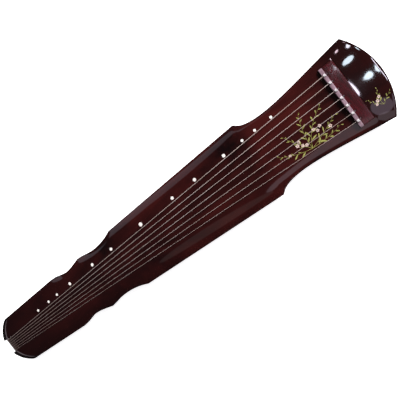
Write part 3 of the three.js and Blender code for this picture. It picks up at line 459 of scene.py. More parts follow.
class Body:
    """Outline and heights of the body; every place is (distance back from the head, across)."""

    def __init__(self):
        size = bpy.context.scene.guqin_body
        fit = bpy.context.scene.guqin_fittings
        strings = bpy.context.scene.guqin_strings
        self.size, self.fit, self.strings = size, fit, strings
        length = size.body_length
        self.length = length
        self.head_end = length / 2
        self.half_head = size.head_width / 2
        self.half_shoulder = self.half_head - size.shoulder_step
        self.half_tail = size.tail_width / 2
        self.half_notch = size.notch_width / 2
        self.half_nut = fit.nut_width / 2
        self.seam = size.stand_height + size.bottom_thickness
        self.edge_level = size.stand_height + size.edge_thickness
        self.shoulder = SHOULDER_SHARE * length
        self.waist_start = WAIST_START_SHARE * length
        self.cusp = CUSP_SHARE * length
        self.waist_end = WAIST_END_SHARE * length
        self.tail_corner = length - size.tail_sweep
        self.crown_inner = self.tail_corner - fit.crown_width
        self.strip_back = fit.head_length - fit.bridge_width - fit.strip_width
        self.nut_back = length - size.notch_depth
        self.nut_front = self.nut_back - fit.nut_length
        self.nut_crest = self.nut_front + NUT_CREST_INSET
        self.bearing = fit.head_length - BEARING_INSET
        self.cord_hole = fit.head_length - fit.bridge_width - CORD_HOLE_INSET
        self.band = (STRING_COUNT - 1) * strings.spacing
        self.half_bridge = self.band / 2 + BRIDGE_OVERHANG
        self.chamber_start = fit.head_length + CHAMBER_BEHIND_BRIDGE
        self.chamber_end = self.crown_inner - CHAMBER_BEFORE_CROWN
        self.sound_holes = (
            (self.shoulder + DRAGON_POOL_BEHIND_SHOULDER, DRAGON_POOL_LENGTH),
            (self.waist_end - PHOENIX_POND_BEFORE_WAIST_END, PHOENIX_POND_LENGTH))
        self.foot_place = self.cusp + FOOT_BEHIND_CUSP
        self.foot_offset = CUSP_WIDTH_SHARE * self.half_shoulder - FOOT_FROM_CUSP_EDGE
        self.head_radius = (self.half_head ** 2 + size.head_sweep ** 2) / (2 * size.head_sweep)
        sweep = size.tail_sweep
        chord = (self.half_tail ** 2 - self.half_notch ** 2 - sweep ** 2) / (2 * sweep)
        self.tail_radius = math.hypot(chord, self.half_tail)
        self.side = self.side_curve()
        self.outline = self.half_outline()

    def point(self, back, across, up):
        return Vector((self.head_end - back, across, up))

    def foot(self, side):
        """Middle of a goose foot on the ground; the far side is 1."""
        return self.point(self.foot_place, side * self.foot_offset, 0)

    def taper_half(self, back):
        back = np.asarray(back, float)
        sweep = self.size.head_sweep
        share = np.maximum(back - sweep, 0) / (self.shoulder - sweep)
        head = blend(self.half_head, self.half_shoulder, share)
        share = (back - self.shoulder) / (self.tail_corner - self.shoulder)
        tail = blend(self.half_shoulder, self.half_tail, share)
        return np.where(back < self.shoulder, head, tail)

    def side_curve(self):
        """Points (back, half width) from the head corner to the tail corner."""
        head = np.array((self.size.head_sweep, self.half_head))
        shoulder = np.array((self.shoulder, self.half_shoulder))
        waist_start = np.array((self.waist_start, float(self.taper_half(self.waist_start))))
        cusp = np.array((self.cusp, CUSP_WIDTH_SHARE * self.half_shoulder))
        waist_end = np.array((self.waist_end, float(self.taper_half(self.waist_end))))
        tail = np.array((self.tail_corner, self.half_tail))
        t = np.linspace(0, 1, SIDE_STEPS, endpoint=False)[:, None]

        def hollow(start, pulls, end):
            a, b = np.array(pulls) * (self.length, self.half_shoulder)
            return (1 - t) ** 3 * start + 3 * (1 - t) ** 2 * t * a + 3 * (1 - t) * t ** 2 * b + t ** 3 * end

        return np.vstack((
            hollow(head, NECK_PULLS, shoulder), shoulder, hollow(waist_start, UPPER_BAY_PULLS, cusp),
            hollow(cusp, LOWER_BAY_PULLS, waist_end), waist_end, tail,
        ))

    def half_width(self, back):
        return np.interp(back, self.side[:, 0], self.side[:, 1])

    def half_outline(self):
        across = np.linspace(0, self.half_head, ARC_STEPS, endpoint=False)
        head = np.stack((self.size.head_sweep - bulge(self.head_radius, self.half_head, across), across), 1)
        across = np.linspace(self.half_tail, self.half_notch, ARC_STEPS)[1:]
        tail = np.stack((self.tail_corner + bulge(self.tail_radius, self.half_tail, across), across), 1)
        return np.vstack((head, self.side, tail))

    def edge_distance(self, back, across):
        """Distance in plan from each place to the nearest point of the outline."""
        places = np.stack((np.ravel(back), np.abs(np.ravel(across))), 1)
        start, end = self.outline[:-1], self.outline[1:]
        run = end - start
        least = np.full(len(places), np.inf)
        for a, d in zip(start, run):
            t = np.clip(((places - a) @ d) / max(d @ d, 1e-12), 0, 1)
            least = np.minimum(least, np.hypot(*(places - a - t[:, None] * d).T))
        return least.reshape(np.shape(back))

    def arch_height(self, back, across):
        thick = self.size.thickness
        share = np.asarray(back, float) / self.length
        fall = read_shares(CAMBER, share) * thick * (np.abs(across) / self.taper_half(back)) ** ARCH_POWER
        return self.size.stand_height + read_shares(CROWN_LINE, share) * thick - fall

    def edge_roll(self, back):
        """Width over which the upper edge is rounded."""
        return read_shares(EDGE_ROLL, np.asarray(back, float) / self.length) * self.size.thickness

    def top_height(self, back, across):
        back, across = np.broadcast_arrays(np.asarray(back, float), np.asarray(across, float))
        arch = self.arch_height(back, across)
        inward = np.minimum(self.edge_distance(back, across) / self.edge_roll(back), 1)
        return arch - (arch - self.edge_level) * (1 - inward) ** EDGE_ROLL_POWER

    def ridge_height(self, across):
        """Top line of the bridge, without the rounding of its upper edges."""
        middle = float(self.arch_height(self.fit.head_length, 0)) + self.fit.bridge_height
        share = np.abs(across) / self.half_bridge
        end_drop = rounded_drop(self.half_bridge - np.abs(across), self.fit.bridge_end_radius)
        return middle - self.fit.bridge_end_drop * share ** 2 - end_drop

    def string_across(self, n):
        return ((STRING_COUNT + 1) / 2 - n) * self.strings.spacing

    def string_width(self, n):
        return blend(self.strings.thickest, self.strings.thinnest, (n - 1) / (STRING_COUNT - 1))

    def across_places(self, half, roll):
        """Places across a row: close over the rounded edge, wider over the arch."""
        far = np.concatenate((half - ROLL_SHARES * roll, ARCH_SHARES * (half - roll)))
        return np.concatenate((-far, (0.0,), far[::-1]))

    def board_rows(self):
        """Grid of the boards: swept round the head, and round the crown corners at the tail."""
        tail_end = self.crown_inner - SEAT_GAP
        fade = tail_end - self.size.tail_sweep
        head_start = self.size.head_sweep
        roll_end = head_start + float(self.edge_roll(head_start))
        marks = (roll_end, self.strip_back, self.shoulder, self.waist_start, self.cusp, self.waist_end,
                 fade, tail_end)
        backs = [blend(head_start, roll_end, share) for share in ROLL_SHARES]
        for start, end in zip(marks, marks[1:]):
            step = ROW_STEP if start >= self.strip_back else HEAD_ROW_STEP
            count = max(2, round((end - start) / step))
            backs.extend(blend(start, end, (i + 1) / count) for i in range(count))
        rows = []
        for back in backs:
            half = float(self.half_width(back))
            across = self.across_places(half, float(self.edge_roll(back)))
            head_share = np.clip((self.strip_back - back) / (self.strip_back - roll_end), 0, 1)
            tail_share = np.clip((back - fade) / (tail_end - fade), 0, 1)
            sweep = 0 * across
            if head_share > 0:
                sweep = -head_share * bulge(self.head_radius, half, across)
            elif tail_share > 0:
                sweep = tail_share * bulge(self.tail_radius, half, across)
            rows.append(np.stack((back + sweep, across), 1))
        return np.array(rows)


# Meshes


def new_object(name, data):
    piece = bpy.data.objects.new(name, data)
    bpy.context.scene.collection.objects.link(piece)
    return piece


def mesh_of(name, points, faces):
    mesh = bpy.data.meshes.new(name)
    mesh.from_pydata([tuple(p) for p in points], [], faces)
    mesh.validate()
    return mesh


def solid_of(name, points, faces):
    """Closed solid with its faces turned outward."""
    piece = new_object(name, mesh_of(name, points, faces))
    shape = bmesh.new()
    shape.from_mesh(piece.data)
    bmesh.ops.recalc_face_normals(shape, faces=shape.faces)
    shape.to_mesh(piece.data)
    shape.free()
    return piece


def object_of(name, shape):
    """Object made of a bmesh, which is freed."""
    mesh = bpy.data.meshes.new(name)
    shape.to_mesh(mesh)
    shape.free()
    return new_object(name, mesh)


def slab(body, name, rows, upper, lower):
    """Closed solid over a grid of plan places, between two height arrays."""
    row_count, column_count = rows.shape[:2]
    back, across = rows[..., 0].ravel(), rows[..., 1].ravel()
    plan = np.stack((body.head_end - back, across), 1)
    points = np.vstack((np.column_stack((plan, np.ravel(upper))), np.column_stack((plan, np.ravel(lower)))))
    under = row_count * column_count
    faces = []
    for i in range(row_count - 1):
        for j in range(column_count - 1):
            a = i * column_count + j
            b = a + column_count
            faces.append((a, a + 1, b + 1, b))
            faces.append((under + a, under + b, under + b + 1, under + a + 1))
    loop = rim_of(np.arange(under).reshape(row_count, column_count)).tolist()
    for p, q in zip(loop, loop[1:] + loop[:1]):
        faces.append((p, under + p, under + q, q))
    return solid_of(name, points, faces)


def rim_of(grid):
    """Entries round the rim of a grid, from the end of its first column."""
    return np.concatenate((grid[:0:-1, 0], grid[0, :-1], grid[:-1, -1], grid[-1, :0:-1]))


def drum(name, width, low, high, centre, sides, turn=None):
    """Upright cylinder used to cut a round hole."""
    cut = bmesh.new()
    bmesh.ops.create_cone(
        cut, cap_ends=True, segments=sides, radius1=width / 2, radius2=width / 2, depth=high - low,
        matrix=Matrix.Translation((0, 0, (low + high) / 2)))
    if turn is not None:
        bmesh.ops.transform(cut, matrix=turn, verts=cut.verts)
    bmesh.ops.translate(cut, vec=centre, verts=cut.verts)
    return object_of(name, cut)


def block(name, low, high):
    """Box between two corners, used to cut a slot."""
    cut = bmesh.new()
    bmesh.ops.create_cube(cut, size=1)
    bmesh.ops.scale(cut, vec=Vector(high) - Vector(low), verts=cut.verts)
    bmesh.ops.translate(cut, vec=(Vector(low) + Vector(high)) / 2, verts=cut.verts)
    return object_of(name, cut)


def prism(name, plan, low, high):
    """Upright solid over a plan outline given anticlockwise."""
    count = len(plan)
    points = [(x, y, up) for up in (low, high) for x, y in plan]
    faces = [tuple(range(count - 1, -1, -1)), tuple(range(count, 2 * count))]
    faces += [(i, (i + 1) % count, count + (i + 1) % count, count + i) for i in range(count)]
    return new_object(name, mesh_of(name, points, faces))


def pulled_across(name, outline, start, end):
    """Solid pulled across the body from a side view's outline of (x, z) points."""
    count = len(outline)
    points = [(x, across, up) for across in (start, end) for x, up in outline]
    faces = [tuple(range(count)), tuple(range(2 * count - 1, count - 1, -1))]
    faces += [(i, count + i, count + (i + 1) % count, (i + 1) % count) for i in range(count)]
    return solid_of(name, points, faces)


def joined(name, pieces):
    """One mesh object of several that don't touch."""
    whole = bmesh.new()
    for piece in pieces:
        whole.from_mesh(piece.data)
        bpy.data.objects.remove(piece)
    return object_of(name, whole)


def bake_modifiers(piece):
    """Turns the evaluated object into its own plain mesh."""
    bpy.context.view_layer.update()
    mesh = bpy.data.meshes.new_from_object(piece.evaluated_get(bpy.context.evaluated_depsgraph_get()))
    mesh.name = piece.name
    piece.modifiers.clear()
    piece.data = mesh


def cut_away(piece, *cutters, finish=None):
    """Takes each cutter out of a piece; the new faces get the finish, if there is one."""
    for cutter in cutters:
        if finish is not None:
            cutter.data.materials.append(material(finish))
        cut = piece.modifiers.new("cut", "BOOLEAN")
        cut.operation = "DIFFERENCE"
        cut.solver = "EXACT"
        cut.material_mode = "TRANSFER"
        cut.object = cutter
        bake_modifiers(piece)
        bpy.data.objects.remove(cutter)


def round_edges(piece, width, angle):
    bevel = piece.modifiers.new("edges", "BEVEL")
    bevel.width = width
    bevel.segments = 3
    bevel.limit_method = "ANGLE"
    bevel.angle_limit = math.radians(angle)
    bake_modifiers(piece)


def smooth(piece, angle, weighted=False):
    """Smooth shading with crisp edges where the faces meet at more than the angle."""
    piece.data.shade_smooth()
    piece.data.set_sharp_from_angle(angle=math.radians(angle))
    if weighted:
        even = piece.modifiers.new("even", "WEIGHTED_NORMAL")
        even.keep_sharp = True
        bake_modifiers(piece)


def finish_piece(piece, nodes, finish=None, body="root"):
    """Gives a piece its finish, the body it rides on and the nodes it stands for."""
    if finish is not None:
        piece.data.materials.append(material(finish))
    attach(piece, body)
    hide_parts(*nodes)


def finish_node(name, finish):
    """Gives a piece of the frame its finish."""
    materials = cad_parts[name].data.materials
    materials.clear()
    materials.append(material(finish))


# Nodes


def add_node(tree, kind, inputs=(), stops=(), **settings):
    """Adds a node; its inputs come in order, or by name or number in a dict. Each is a constant,
    a socket or a node's first output. Stops are the (place, colour) pairs of a ramp."""
    name, usual = kind if isinstance(kind, tuple) else (kind, {})
    node = tree.nodes.new(name)
    for key, value in {**usual, **settings}.items():
        setattr(node, key, value)
    for key, value in inputs.items() if isinstance(inputs, dict) else enumerate(inputs):
        source = value.outputs[0] if isinstance(value, bpy.types.Node) else value
        if isinstance(source, bpy.types.NodeSocket):
            tree.links.new(source, node.inputs[key])
        else:
            node.inputs[key].default_value = source
    if stops:
        elements = node.color_ramp.elements
        while len(elements) < len(stops):
            elements.new(0.5)
        for element, (place, colour) in zip(elements, stops):
            element.position = place
            element.color = colour
    return node


def linear(hex_colour):
    """sRGB hex value as a linear RGBA colour."""
    channels = [int(hex_colour[i:i + 2], 16) / 255 for i in (0, 2, 4)]
    return (*[c / 12.92 if c <= 0.04045 else ((c + 0.055) / 1.055) ** 2.4 for c in channels], 1.0)


def grey(value):
    return (value, value, value, 1.0)


def colour_of(name):
    return linear(getattr(bpy.context.scene.guqin_colours, name))


# Materials


def new_material(name):
    """Material with an empty tree, and the function that adds nodes to it."""
    made = bpy.data.materials.new(name)
    made.use_nodes = True
    made.node_tree.nodes.clear()
    return made, partial(add_node, made.node_tree)


def close_material(add, shader_inputs):
    """Shader and output at a material's end; constants go straight on the shader's sockets."""
    shader = add("ShaderNodeBsdfPrincipled", shader_inputs)
    add("ShaderNodeOutputMaterial", {"Surface": shader})


def mottle(add, size, detail=3.0, roughness=0.5, stretch=(1, 1, 1), distortion=0.0):
    """Noise in object coordinates whose spots are about size metres wide, longer where
    stretched."""
    coordinates = add("ShaderNodeTexCoord").outputs["Object"]
    scale = tuple(1 / (size * s) for s in stretch)
    placed = add("ShaderNodeMapping", {"Vector": coordinates, "Scale": scale})
    return add("ShaderNodeTexNoise", {
        "Vector": placed, "Scale": 1.0, "Detail": detail, "Roughness": roughness,
        "Distortion": distortion})


def place_along(add):
    """Place along the body in object coordinates."""
    return add(SPLIT, (add("ShaderNodeTexCoord").outputs["Object"],))


def lacquer_material():
    """Polished raw lacquer over bone ash: deep red-brown clouds in near black, with the soft
    waviness of hand rubbing, so that its mirror of the studio breaks up gently."""
    made, add = new_material("hand_rubbed_lacquer")
    dark, red = colour_of("lacquer_dark"), colour_of("lacquer_red")
    half_length = bpy.context.scene.guqin_body.body_length / 2
    clouds = mottle(add, 90 * MM, detail=5, roughness=0.62, stretch=(2.2, 1, 1), distortion=0.6)
    streaks = mottle(add, 3.5 * MM, detail=4, roughness=0.7, stretch=(30, 1, 1))
    specks = mottle(add, 1.1 * MM, detail=2)
    haze = mottle(add, 45 * MM, detail=3, stretch=(1.6, 1, 1))
    rubbing = mottle(add, 26 * MM, detail=1, stretch=(1.8, 1, 1))
    peel = mottle(add, 1.6 * MM, detail=1)
    share = add(RANGE, {"Value": place_along(add), "From Min": -half_length, "From Max": half_length})
    # Painted shade: the lacquer is darkened by its place along the body, most toward the tail
    painted_shade = add(RAMP, {"Fac": share}, stops=[(place, grey(value)) for place, value in LACQUER_PAINTED_SHADE])
    colour = add(RAMP, {"Fac": clouds}, stops=((0.3, dark), (0.62, red)))
    colour = add(MIX, {0: painted_shade, 6: colour, 7: dark}).outputs[2]
    streaked = add(RANGE, {"Value": streaks, "To Min": 0.0, "To Max": 0.4})
    colour = add(MIX, {0: streaked, 6: colour, 7: dark}).outputs[2]
    specks = add(RAMP, {"Fac": specks}, stops=((0.66, grey(0)), (0.76, grey(1))))
    specks = add(TIMES, (specks, 0.35))
    colour = add(MIX, {0: specks, 6: colour, 7: red}).outputs[2]
    waves = add(BUMP, {"Height": rubbing, "Distance": 0.04 * MM, "Strength": 1.0})
    close_material(add, {
        "Base Color": colour, "IOR": 1.52, "Coat Weight": 0.5, "Coat Roughness": 0.03, "Coat IOR": 1.5,
        "Coat Normal": waves,
        "Roughness": add(RANGE, {"Value": haze, "To Min": 0.035, "To Max": 0.07}),
        "Normal": add(BUMP, {
            "Height": peel, "Distance": 0.0006 * MM, "Strength": 1.0, "Normal": waves})})
    return made


def hardwood_material(name, dark, light, roughness, coat, highlight=None):
    """Oiled and polished dense hardwood: fine pores and dark lines that run along the piece; where an
    attribute marks a raised bead, a paler colour is laid on in patches as a painted highlight."""
    made, add = new_material(name)
    dark, light = colour_of(dark), colour_of(light)
    lines = mottle(add, 1.8 * MM, detail=5, roughness=0.65, stretch=(1, 14, 1), distortion=0.4)
    broad = mottle(add, 9 * MM, detail=3, stretch=(1, 5, 1))
    lines = add(TIMES, (lines, 0.6))
    broad = add(TIMES, (broad, 0.4))
    grain = add(PLUS, (lines, broad))
    colour = add(RAMP, {"Fac": grain}, stops=((0.36, dark), (0.6, light)))
    pores = mottle(add, 0.5 * MM, detail=2, stretch=(1, 12, 1))
    filled = add(RAMP, {"Fac": pores}, stops=((0.3, grey(0.7)), (0.42, grey(0))))
    colour = add(MIX, {0: filled, 6: colour, 7: dark}).outputs[2]
    if highlight is not None:
        # Painted highlight: the marked bead gets a paler colour, broken into patches
        wear = add("ShaderNodeAttribute", attribute_name="wear").outputs["Fac"]
        patches = mottle(add, 14 * MM, detail=2)
        patches = add(RANGE, {"Value": patches, "To Min": -0.1, "To Max": 1.0})
        wear = add(TIMES, (wear, patches))
        colour = add(MIX, {0: wear, 6: colour, 7: colour_of(highlight)}).outputs[2]
    close_material(add, {
        "Base Color": colour, "IOR": 1.5, "Coat Weight": coat, "Coat Roughness": 0.08,
        "Roughness": add(RANGE, {"Value": grain, "To Min": roughness + 0.12, "To Max": roughness}),
        "Normal": add(BUMP, {"Height": pores, "Distance": 0.03 * MM, "Strength": 0.6})})
    return made


def close_patterned(add, pattern, stops, roughness, relief, depth, strength, shader_inputs):
    """Shader whose colour and roughness follow one pattern, and whose relief follows another."""
    low, high = roughness
    close_material(add, {
        **shader_inputs, "Base Color": add(RAMP, {"Fac": pattern}, stops=stops),
        "Roughness": add(RANGE, {"Value": pattern, "To Min": low, "To Max": high}),
        "Normal": add(BUMP, {"Height": relief, "Distance": depth, "Strength": strength})})


def raw_wood_material():
    """Unfinished paulownia inside the chamber: pale, dull, with straight open grain."""
    made, add = new_material("raw_paulownia")
    lines = mottle(add, 2.4 * MM, detail=4, roughness=0.6, stretch=(40, 1, 1), distortion=0.2)
    stops = ((0.35, colour_of("raw_wood_dark")), (0.62, colour_of("raw_wood")))
    close_patterned(add, lines, stops, (0.9, 0.7), lines, 0.15 * MM, 0.7, {"IOR": 1.45})
    return made


def pearl_material():
    """Polished mother-of-pearl: milky white with slow pink and green drifts under the gloss."""
    made, add = new_material("polished_shell")
    drift = mottle(add, 3 * MM, detail=3, distortion=1.2)
    layers = mottle(add, 0.8 * MM, detail=2, stretch=(4, 1, 1))
    stops = ((0.3, colour_of("pearl_pink")), (0.5, colour_of("pearl")), (0.7, colour_of("pearl_green")))
    close_patterned(add, drift, stops, (0.12, 0.3), layers, 0.02 * MM, 0.5, {
        "IOR": 1.53, "Coat Weight": 0.8, "Coat Roughness": 0.05})
    return made


def silk_material():
    """Twisted silk cord: soft sheen, with fibres that follow each ply."""
    made, add = new_material("twisted_silk")
    fibres = mottle(add, 0.35 * MM, detail=3, stretch=(1, 1, 5))
    stops = ((0.3, colour_of("silk_dark")), (0.65, colour_of("silk")))
    close_patterned(add, fibres, stops, (0.75, 0.5), fibres, 0.05 * MM, 0.7, {
        "IOR": 1.5, "Sheen Weight": 0.6, "Sheen Roughness": 0.4})
    return made


def paint_material(name, colour, size):
    """Thin opaque paint on lacquer: slightly raised, with brush tone from root to tip."""
    made, add = new_material(name)
    strokes = mottle(add, size, detail=3, distortion=0.8)
    stops = ((0.35, colour_of(colour + "_dark")), (0.6, colour_of(colour)))
    close_patterned(add, strokes, stops, (0.35, 0.55), strokes, 0.05 * MM, 0.5, {
        "IOR": 1.5, "Coat Weight": 0.3, "Coat Roughness": 0.1})
    return made


def floor_material():
    """Matt white sheet of a light table, faintly uneven in tone."""
    made, add = new_material("white_sheet")
    tone = mottle(add, 0.9, detail=2)
    stops = ((0.3, colour_of("floor_dark")), (0.7, colour_of("floor")))
    close_material(add, {
        "Base Color": add(RAMP, {"Fac": tone}, stops=stops),
        "Roughness": add(RANGE, {"Value": tone, "To Min": 0.85, "To Max": 0.95}),
        "IOR": 1.4, "Specular IOR Level": 0.0, "Emission Color": grey(1), "Emission Strength": 0.9})
    return made


def wound_string_material():
    """Steel core wound with nylon ribbon: a pale satin line whose turns, drawn 0.6 mm apart so that they can
    show, catch the light, with painted shade between them. Painted shade darkens it toward the tail, and its
    knots are whiter."""
    made, add = new_material("nylon_wound_string")
    scene = bpy.context.scene
    face = scene.guqin_body.body_length / 2 - scene.guqin_fittings.head_length
    along = add("ShaderNodeAttribute", attribute_name="along").outputs["Fac"]
    turn = add(TIMES, (along, 2 * math.pi / WINDING_PITCH))
    turn = add(SINE, (turn,))
    turn = add(MATH, (turn, 0.5, 0.5), operation="MULTIPLY_ADD")
    ridge = add(RANGE, {"Value": turn, "To Min": 0, "To Max": 1})
    wear = mottle(add, 35 * MM, detail=3)
    place = place_along(add)
    # Painted shade: the strings darken toward the tail
    tail_shade = add(RANGE, {
        "Value": place, "From Min": STRING_TAIL_SHADE[0], "From Max": STRING_TAIL_SHADE[1], "To Max": 0.8})
    # Painted shade in the grooves between the turns
    groove_shade = add(RANGE, {"Value": ridge, "To Min": 0.25, "To Max": 0.0})
    knot = add(RANGE, {
        "Value": place, "From Min": face + KNOT_EDGE[0], "From Max": face + KNOT_EDGE[1], "To Max": 0.9})
    stops = ((0.3, colour_of("string_worn")), (0.7, colour_of("string")))
    colour = add(RAMP, {"Fac": wear}, stops=stops)
    for factor, name in ((tail_shade, "string_dull"), (groove_shade, "string_groove"), (knot, "knot")):
        colour = add(MIX, {0: factor, 6: colour, 7: colour_of(name)}).outputs[2]
    close_material(add, {
        "Base Color": colour, "IOR": 1.53, "Metallic": 0.35,
        "Roughness": add(RANGE, {"Value": wear, "To Min": 0.42, "To Max": 0.28}),
        "Normal": add(BUMP, {"Height": ridge, "Distance": 0.05 * MM, "Strength": 0.6})})
    return made


MATERIALS = {}


def material(name):
    """Each finish is made once, when a piece first asks for it."""
    makers = {
        "lacquer": lacquer_material,
        "hardwood": lambda: hardwood_material(
            "polished_blackwood", "hardwood_dark", "hardwood_light", 0.2, 0.4),
        # Black ebony whose pale bead colour is a painted highlight
        "crown": lambda: hardwood_material(
            "black_ebony", "ebony_dark", "ebony_light", 0.16, 0.8, highlight="ebony_painted_highlight"),
        "nut": lambda: hardwood_material("smoked_blackwood", "ebony_light", "nut_brown", 0.25, 0.4),
        # Bridge wood whose pale colours are a painted highlight
        "bridge": lambda: hardwood_material("worn_rosewood", "bridge_dark", "bridge_light", 0.3, 0.4),
        "strip": lambda: hardwood_material("red_sandalwood", "hardwood_dark", "strip_red", 0.16, 0.6),
        "raw_wood": raw_wood_material,
        "pearl": pearl_material,
        "string": wound_string_material,
        "silk": silk_material,
        "leaf": lambda: paint_material("olive_gold_paint", "leaf", 3 * MM),
        "blossom": lambda: paint_material("pale_pink_paint", "blossom", 2 * MM),
        "floor": floor_material,
    }
    if name not in MATERIALS:
        MATERIALS[name] = makers[name]()
    return MATERIALS[name]


# Geometry node trees


def new_tree(name, inputs):
    """Geometry tree with named inputs, given as (name, socket type, default), the function that
    adds nodes to it, and its input sockets."""
    tree = bpy.data.node_groups.new(name, "GeometryNodeTree")
    tree.interface.new_socket("Geometry", in_out="INPUT", socket_type="NodeSocketGeometry")
    tree.interface.new_socket("Geometry", in_out="OUTPUT", socket_type="NodeSocketGeometry")
    for label, kind, default in inputs:
        socket = tree.interface.new_socket(label, in_out="INPUT", socket_type="NodeSocket" + kind)
        if default is not None:
            socket.default_value = default
    return tree, partial(add_node, tree), tree.nodes.new("NodeGroupInput").outputs


def close_tree(tree, geometry, given):
    """Real meshes with the chosen material at the end of a tree."""
    real = add_node(tree, "GeometryNodeRealizeInstances", {"Geometry": geometry})
    painted = add_node(tree, "GeometryNodeSetMaterial", {"Geometry": real, "Material": given["Material"]})
    add_node(tree, "NodeGroupOutput", {0: painted})
    return tree


def shape_with(tree, source, values):
    """Runs a tree on an object and leaves it a plain mesh."""
    modifier = source.modifiers.new("shape", "NODES")
    modifier.node_group = tree
    for item in tree.interface.items_tree:
        if item.in_out == "INPUT" and item.name in values:
            modifier[item.identifier] = values[item.name]
    bpy.context.view_layer.update()
    mesh = bpy.data.meshes.new_from_object(source.evaluated_get(bpy.context.evaluated_depsgraph_get()))
    name = source.name
    source.modifiers.clear()
    bpy.data.objects.remove(source)
    mesh.name = name
    mesh.materials.clear()
    mesh.materials.append(values["Material"])
    mesh.polygons.foreach_set("material_index", np.zeros(len(mesh.polygons), dtype=np.int32))
    return new_object(name, mesh)


def cord_tree():
    """Round cord of one or more plies laid round a path; 'along' is the distance on it."""
    tree, add, given = new_tree("laid_cord", (
        ("Width", "Float", 1 * MM), ("Lay", "Float", 6 * MM), ("Plies", "Int", 1),
        ("Step", "Float", 1 * MM), ("Sides", "Int", 10), ("Material", "Material", None)))
    path, width, plies = given["Geometry"], given["Width"], given["Plies"]
    many = add("FunctionNodeCompare", {2: plies, 3: 1}, data_type="INT", operation="GREATER_THAN")
    even = add("GeometryNodeResampleCurve", {"Curve": path, "Length": given["Step"]}, mode="LENGTH")
    path = add("GeometryNodeSwitch", {0: many, 1: path, 2: even}, input_type="GEOMETRY")
    copies = add("GeometryNodeDuplicateElements", {"Geometry": path, "Amount": plies}, domain="SPLINE")
    share = add(OVER, (copies.outputs["Duplicate Index"], plies))
    length = add("GeometryNodeSplineParameter").outputs["Length"]
    laps = add(OVER, (length, given["Lay"]))
    laps = add(PLUS, (share, laps))
    angle = add(TIMES, (laps, 2 * math.pi))
    outward = add("ShaderNodeVectorRotate", {
        "Vector": add("GeometryNodeInputNormal"), "Axis": add("GeometryNodeInputTangent"),
        "Angle": angle}, rotation_type="AXIS_ANGLE")
    reach = add(TIMES, (width, PLY_REACH))
    reach = add(TIMES, (reach, many))
    offset = add("ShaderNodeVectorMath", {0: outward, "Scale": reach}, operation="SCALE")
    laid = add(MOVE, {"Geometry": copies, "Offset": offset})
    marked = add(STORE, {"Geometry": laid, "Name": "along", "Value": length})
    ply_share = add("GeometryNodeSwitch", {0: many, 1: 0.5, 2: PLY_RADIUS}, input_type="FLOAT")
    radius = add(TIMES, (width, ply_share))
    ring = add("GeometryNodeCurvePrimitiveCircle", {"Resolution": given["Sides"], "Radius": radius})
    skin = add("GeometryNodeCurveToMesh", {
        "Curve": marked, "Profile Curve": ring, "Fill Caps": True,
        "Scale": add("GeometryNodeInputRadius")})
    return close_tree(tree, add(SMOOTH, {"Geometry": skin}), given)


def turned_tree():
    """Lathe-turned piece: a profile of (radius, 0, height) points swung round the upright axis,
    with flutes of the given depth between two heights, deepest halfway."""
    tree, add, given = new_tree("turned_piece", (
        ("Sides", "Int", 48), ("Points", "Int", 2), ("Flutes", "Int", 0), ("Flute Depth", "Float", 0.0),
        ("Flute Bore", "Float", 0.0), ("Flute Top", "Float", 1.0), ("Flute Base", "Float", 0.0),
        ("Place", "Vector", None), ("Material", "Material", None)))
    columns = add(PLUS, (given["Sides"], 1.0))
    grid = add("GeometryNodeMeshGrid", {
        "Size X": 1.0, "Size Y": 1.0, "Vertices X": columns, "Vertices Y": given["Points"]})
    spot = add(SPLIT, (add("GeometryNodeInputPosition"),)).outputs
    angle = add(PLUS, (spot[0], 0.5))
    angle = add(TIMES, (angle, 2 * math.pi))
    last = add(MINUS, (given["Points"], 1.0))
    row = add(PLUS, (spot[1], 0.5))
    row = add(TIMES, (row, last))
    row = add(MATH, (row,), operation="ROUND")
    profile = add("GeometryNodeSampleIndex", {
        "Geometry": given["Geometry"], "Value": add("GeometryNodeInputPosition"), "Index": row},
        data_type="FLOAT_VECTOR", domain="POINT")
    radius, _, height = add(SPLIT, {0: profile}).outputs
    rise = add(RANGE, {
        "Value": height, "From Min": given["Flute Base"], "From Max": given["Flute Top"]})
    swell = add(TIMES, (rise, math.pi))
    swell = add(SINE, (swell,))
    wave = add(TIMES, (angle, given["Flutes"]))
    wave = add(COSINE, (wave,))
    hollow = add(MINUS, (1.0, wave))
    hollow = add(TIMES, (hollow, 0.5))
    hollow = add(TIMES, (swell, hollow))
    outer = add(MATH, (radius, given["Flute Bore"]), operation="GREATER_THAN")
    depth = add(TIMES, (given["Flute Depth"], outer))
    cut = add(TIMES, (hollow, depth))
    reach = add(MINUS, (radius, cut))
    side, front = (add(kind, (angle,)) for kind in (COSINE, SINE))
    swung = add(MERGE, (add(TIMES, (reach, side)), add(TIMES, (reach, front)), height))
    stood = add("ShaderNodeVectorMath", (swung, given["Place"]), operation="ADD")
    bent = add(MOVE, {"Geometry": grid, "Position": stood})
    closed = add("GeometryNodeMergeByDistance", {"Geometry": bent, "Distance": 0.001 * MM})
    return close_tree(tree, add(SMOOTH, {"Geometry": closed}), given)


def inlay_tree():
    """Turned discs set on points, each as wide and as tilted as its point says."""
    tree, add, given = new_tree("inlaid_studs", (("Disc", "Object", None), ("Material", "Material", None)))
    disc = add("GeometryNodeObjectInfo", {"Object": given["Disc"]}).outputs["Geometry"]
    facing = add(NAMED, {"Name": "facing"}, data_type="FLOAT_VECTOR")
    width = add(NAMED, {"Name": "width"}, data_type="FLOAT")
    turn = add("FunctionNodeAlignRotationToVector", {"Vector": facing}, axis="Z")
    scale = add(MERGE, (width, width, 1.0))
    laid = add(PLACE_ON, {
        "Points": given["Geometry"], "Instance": disc, "Rotation": turn, "Scale": scale})
    return close_tree(tree, laid, given)


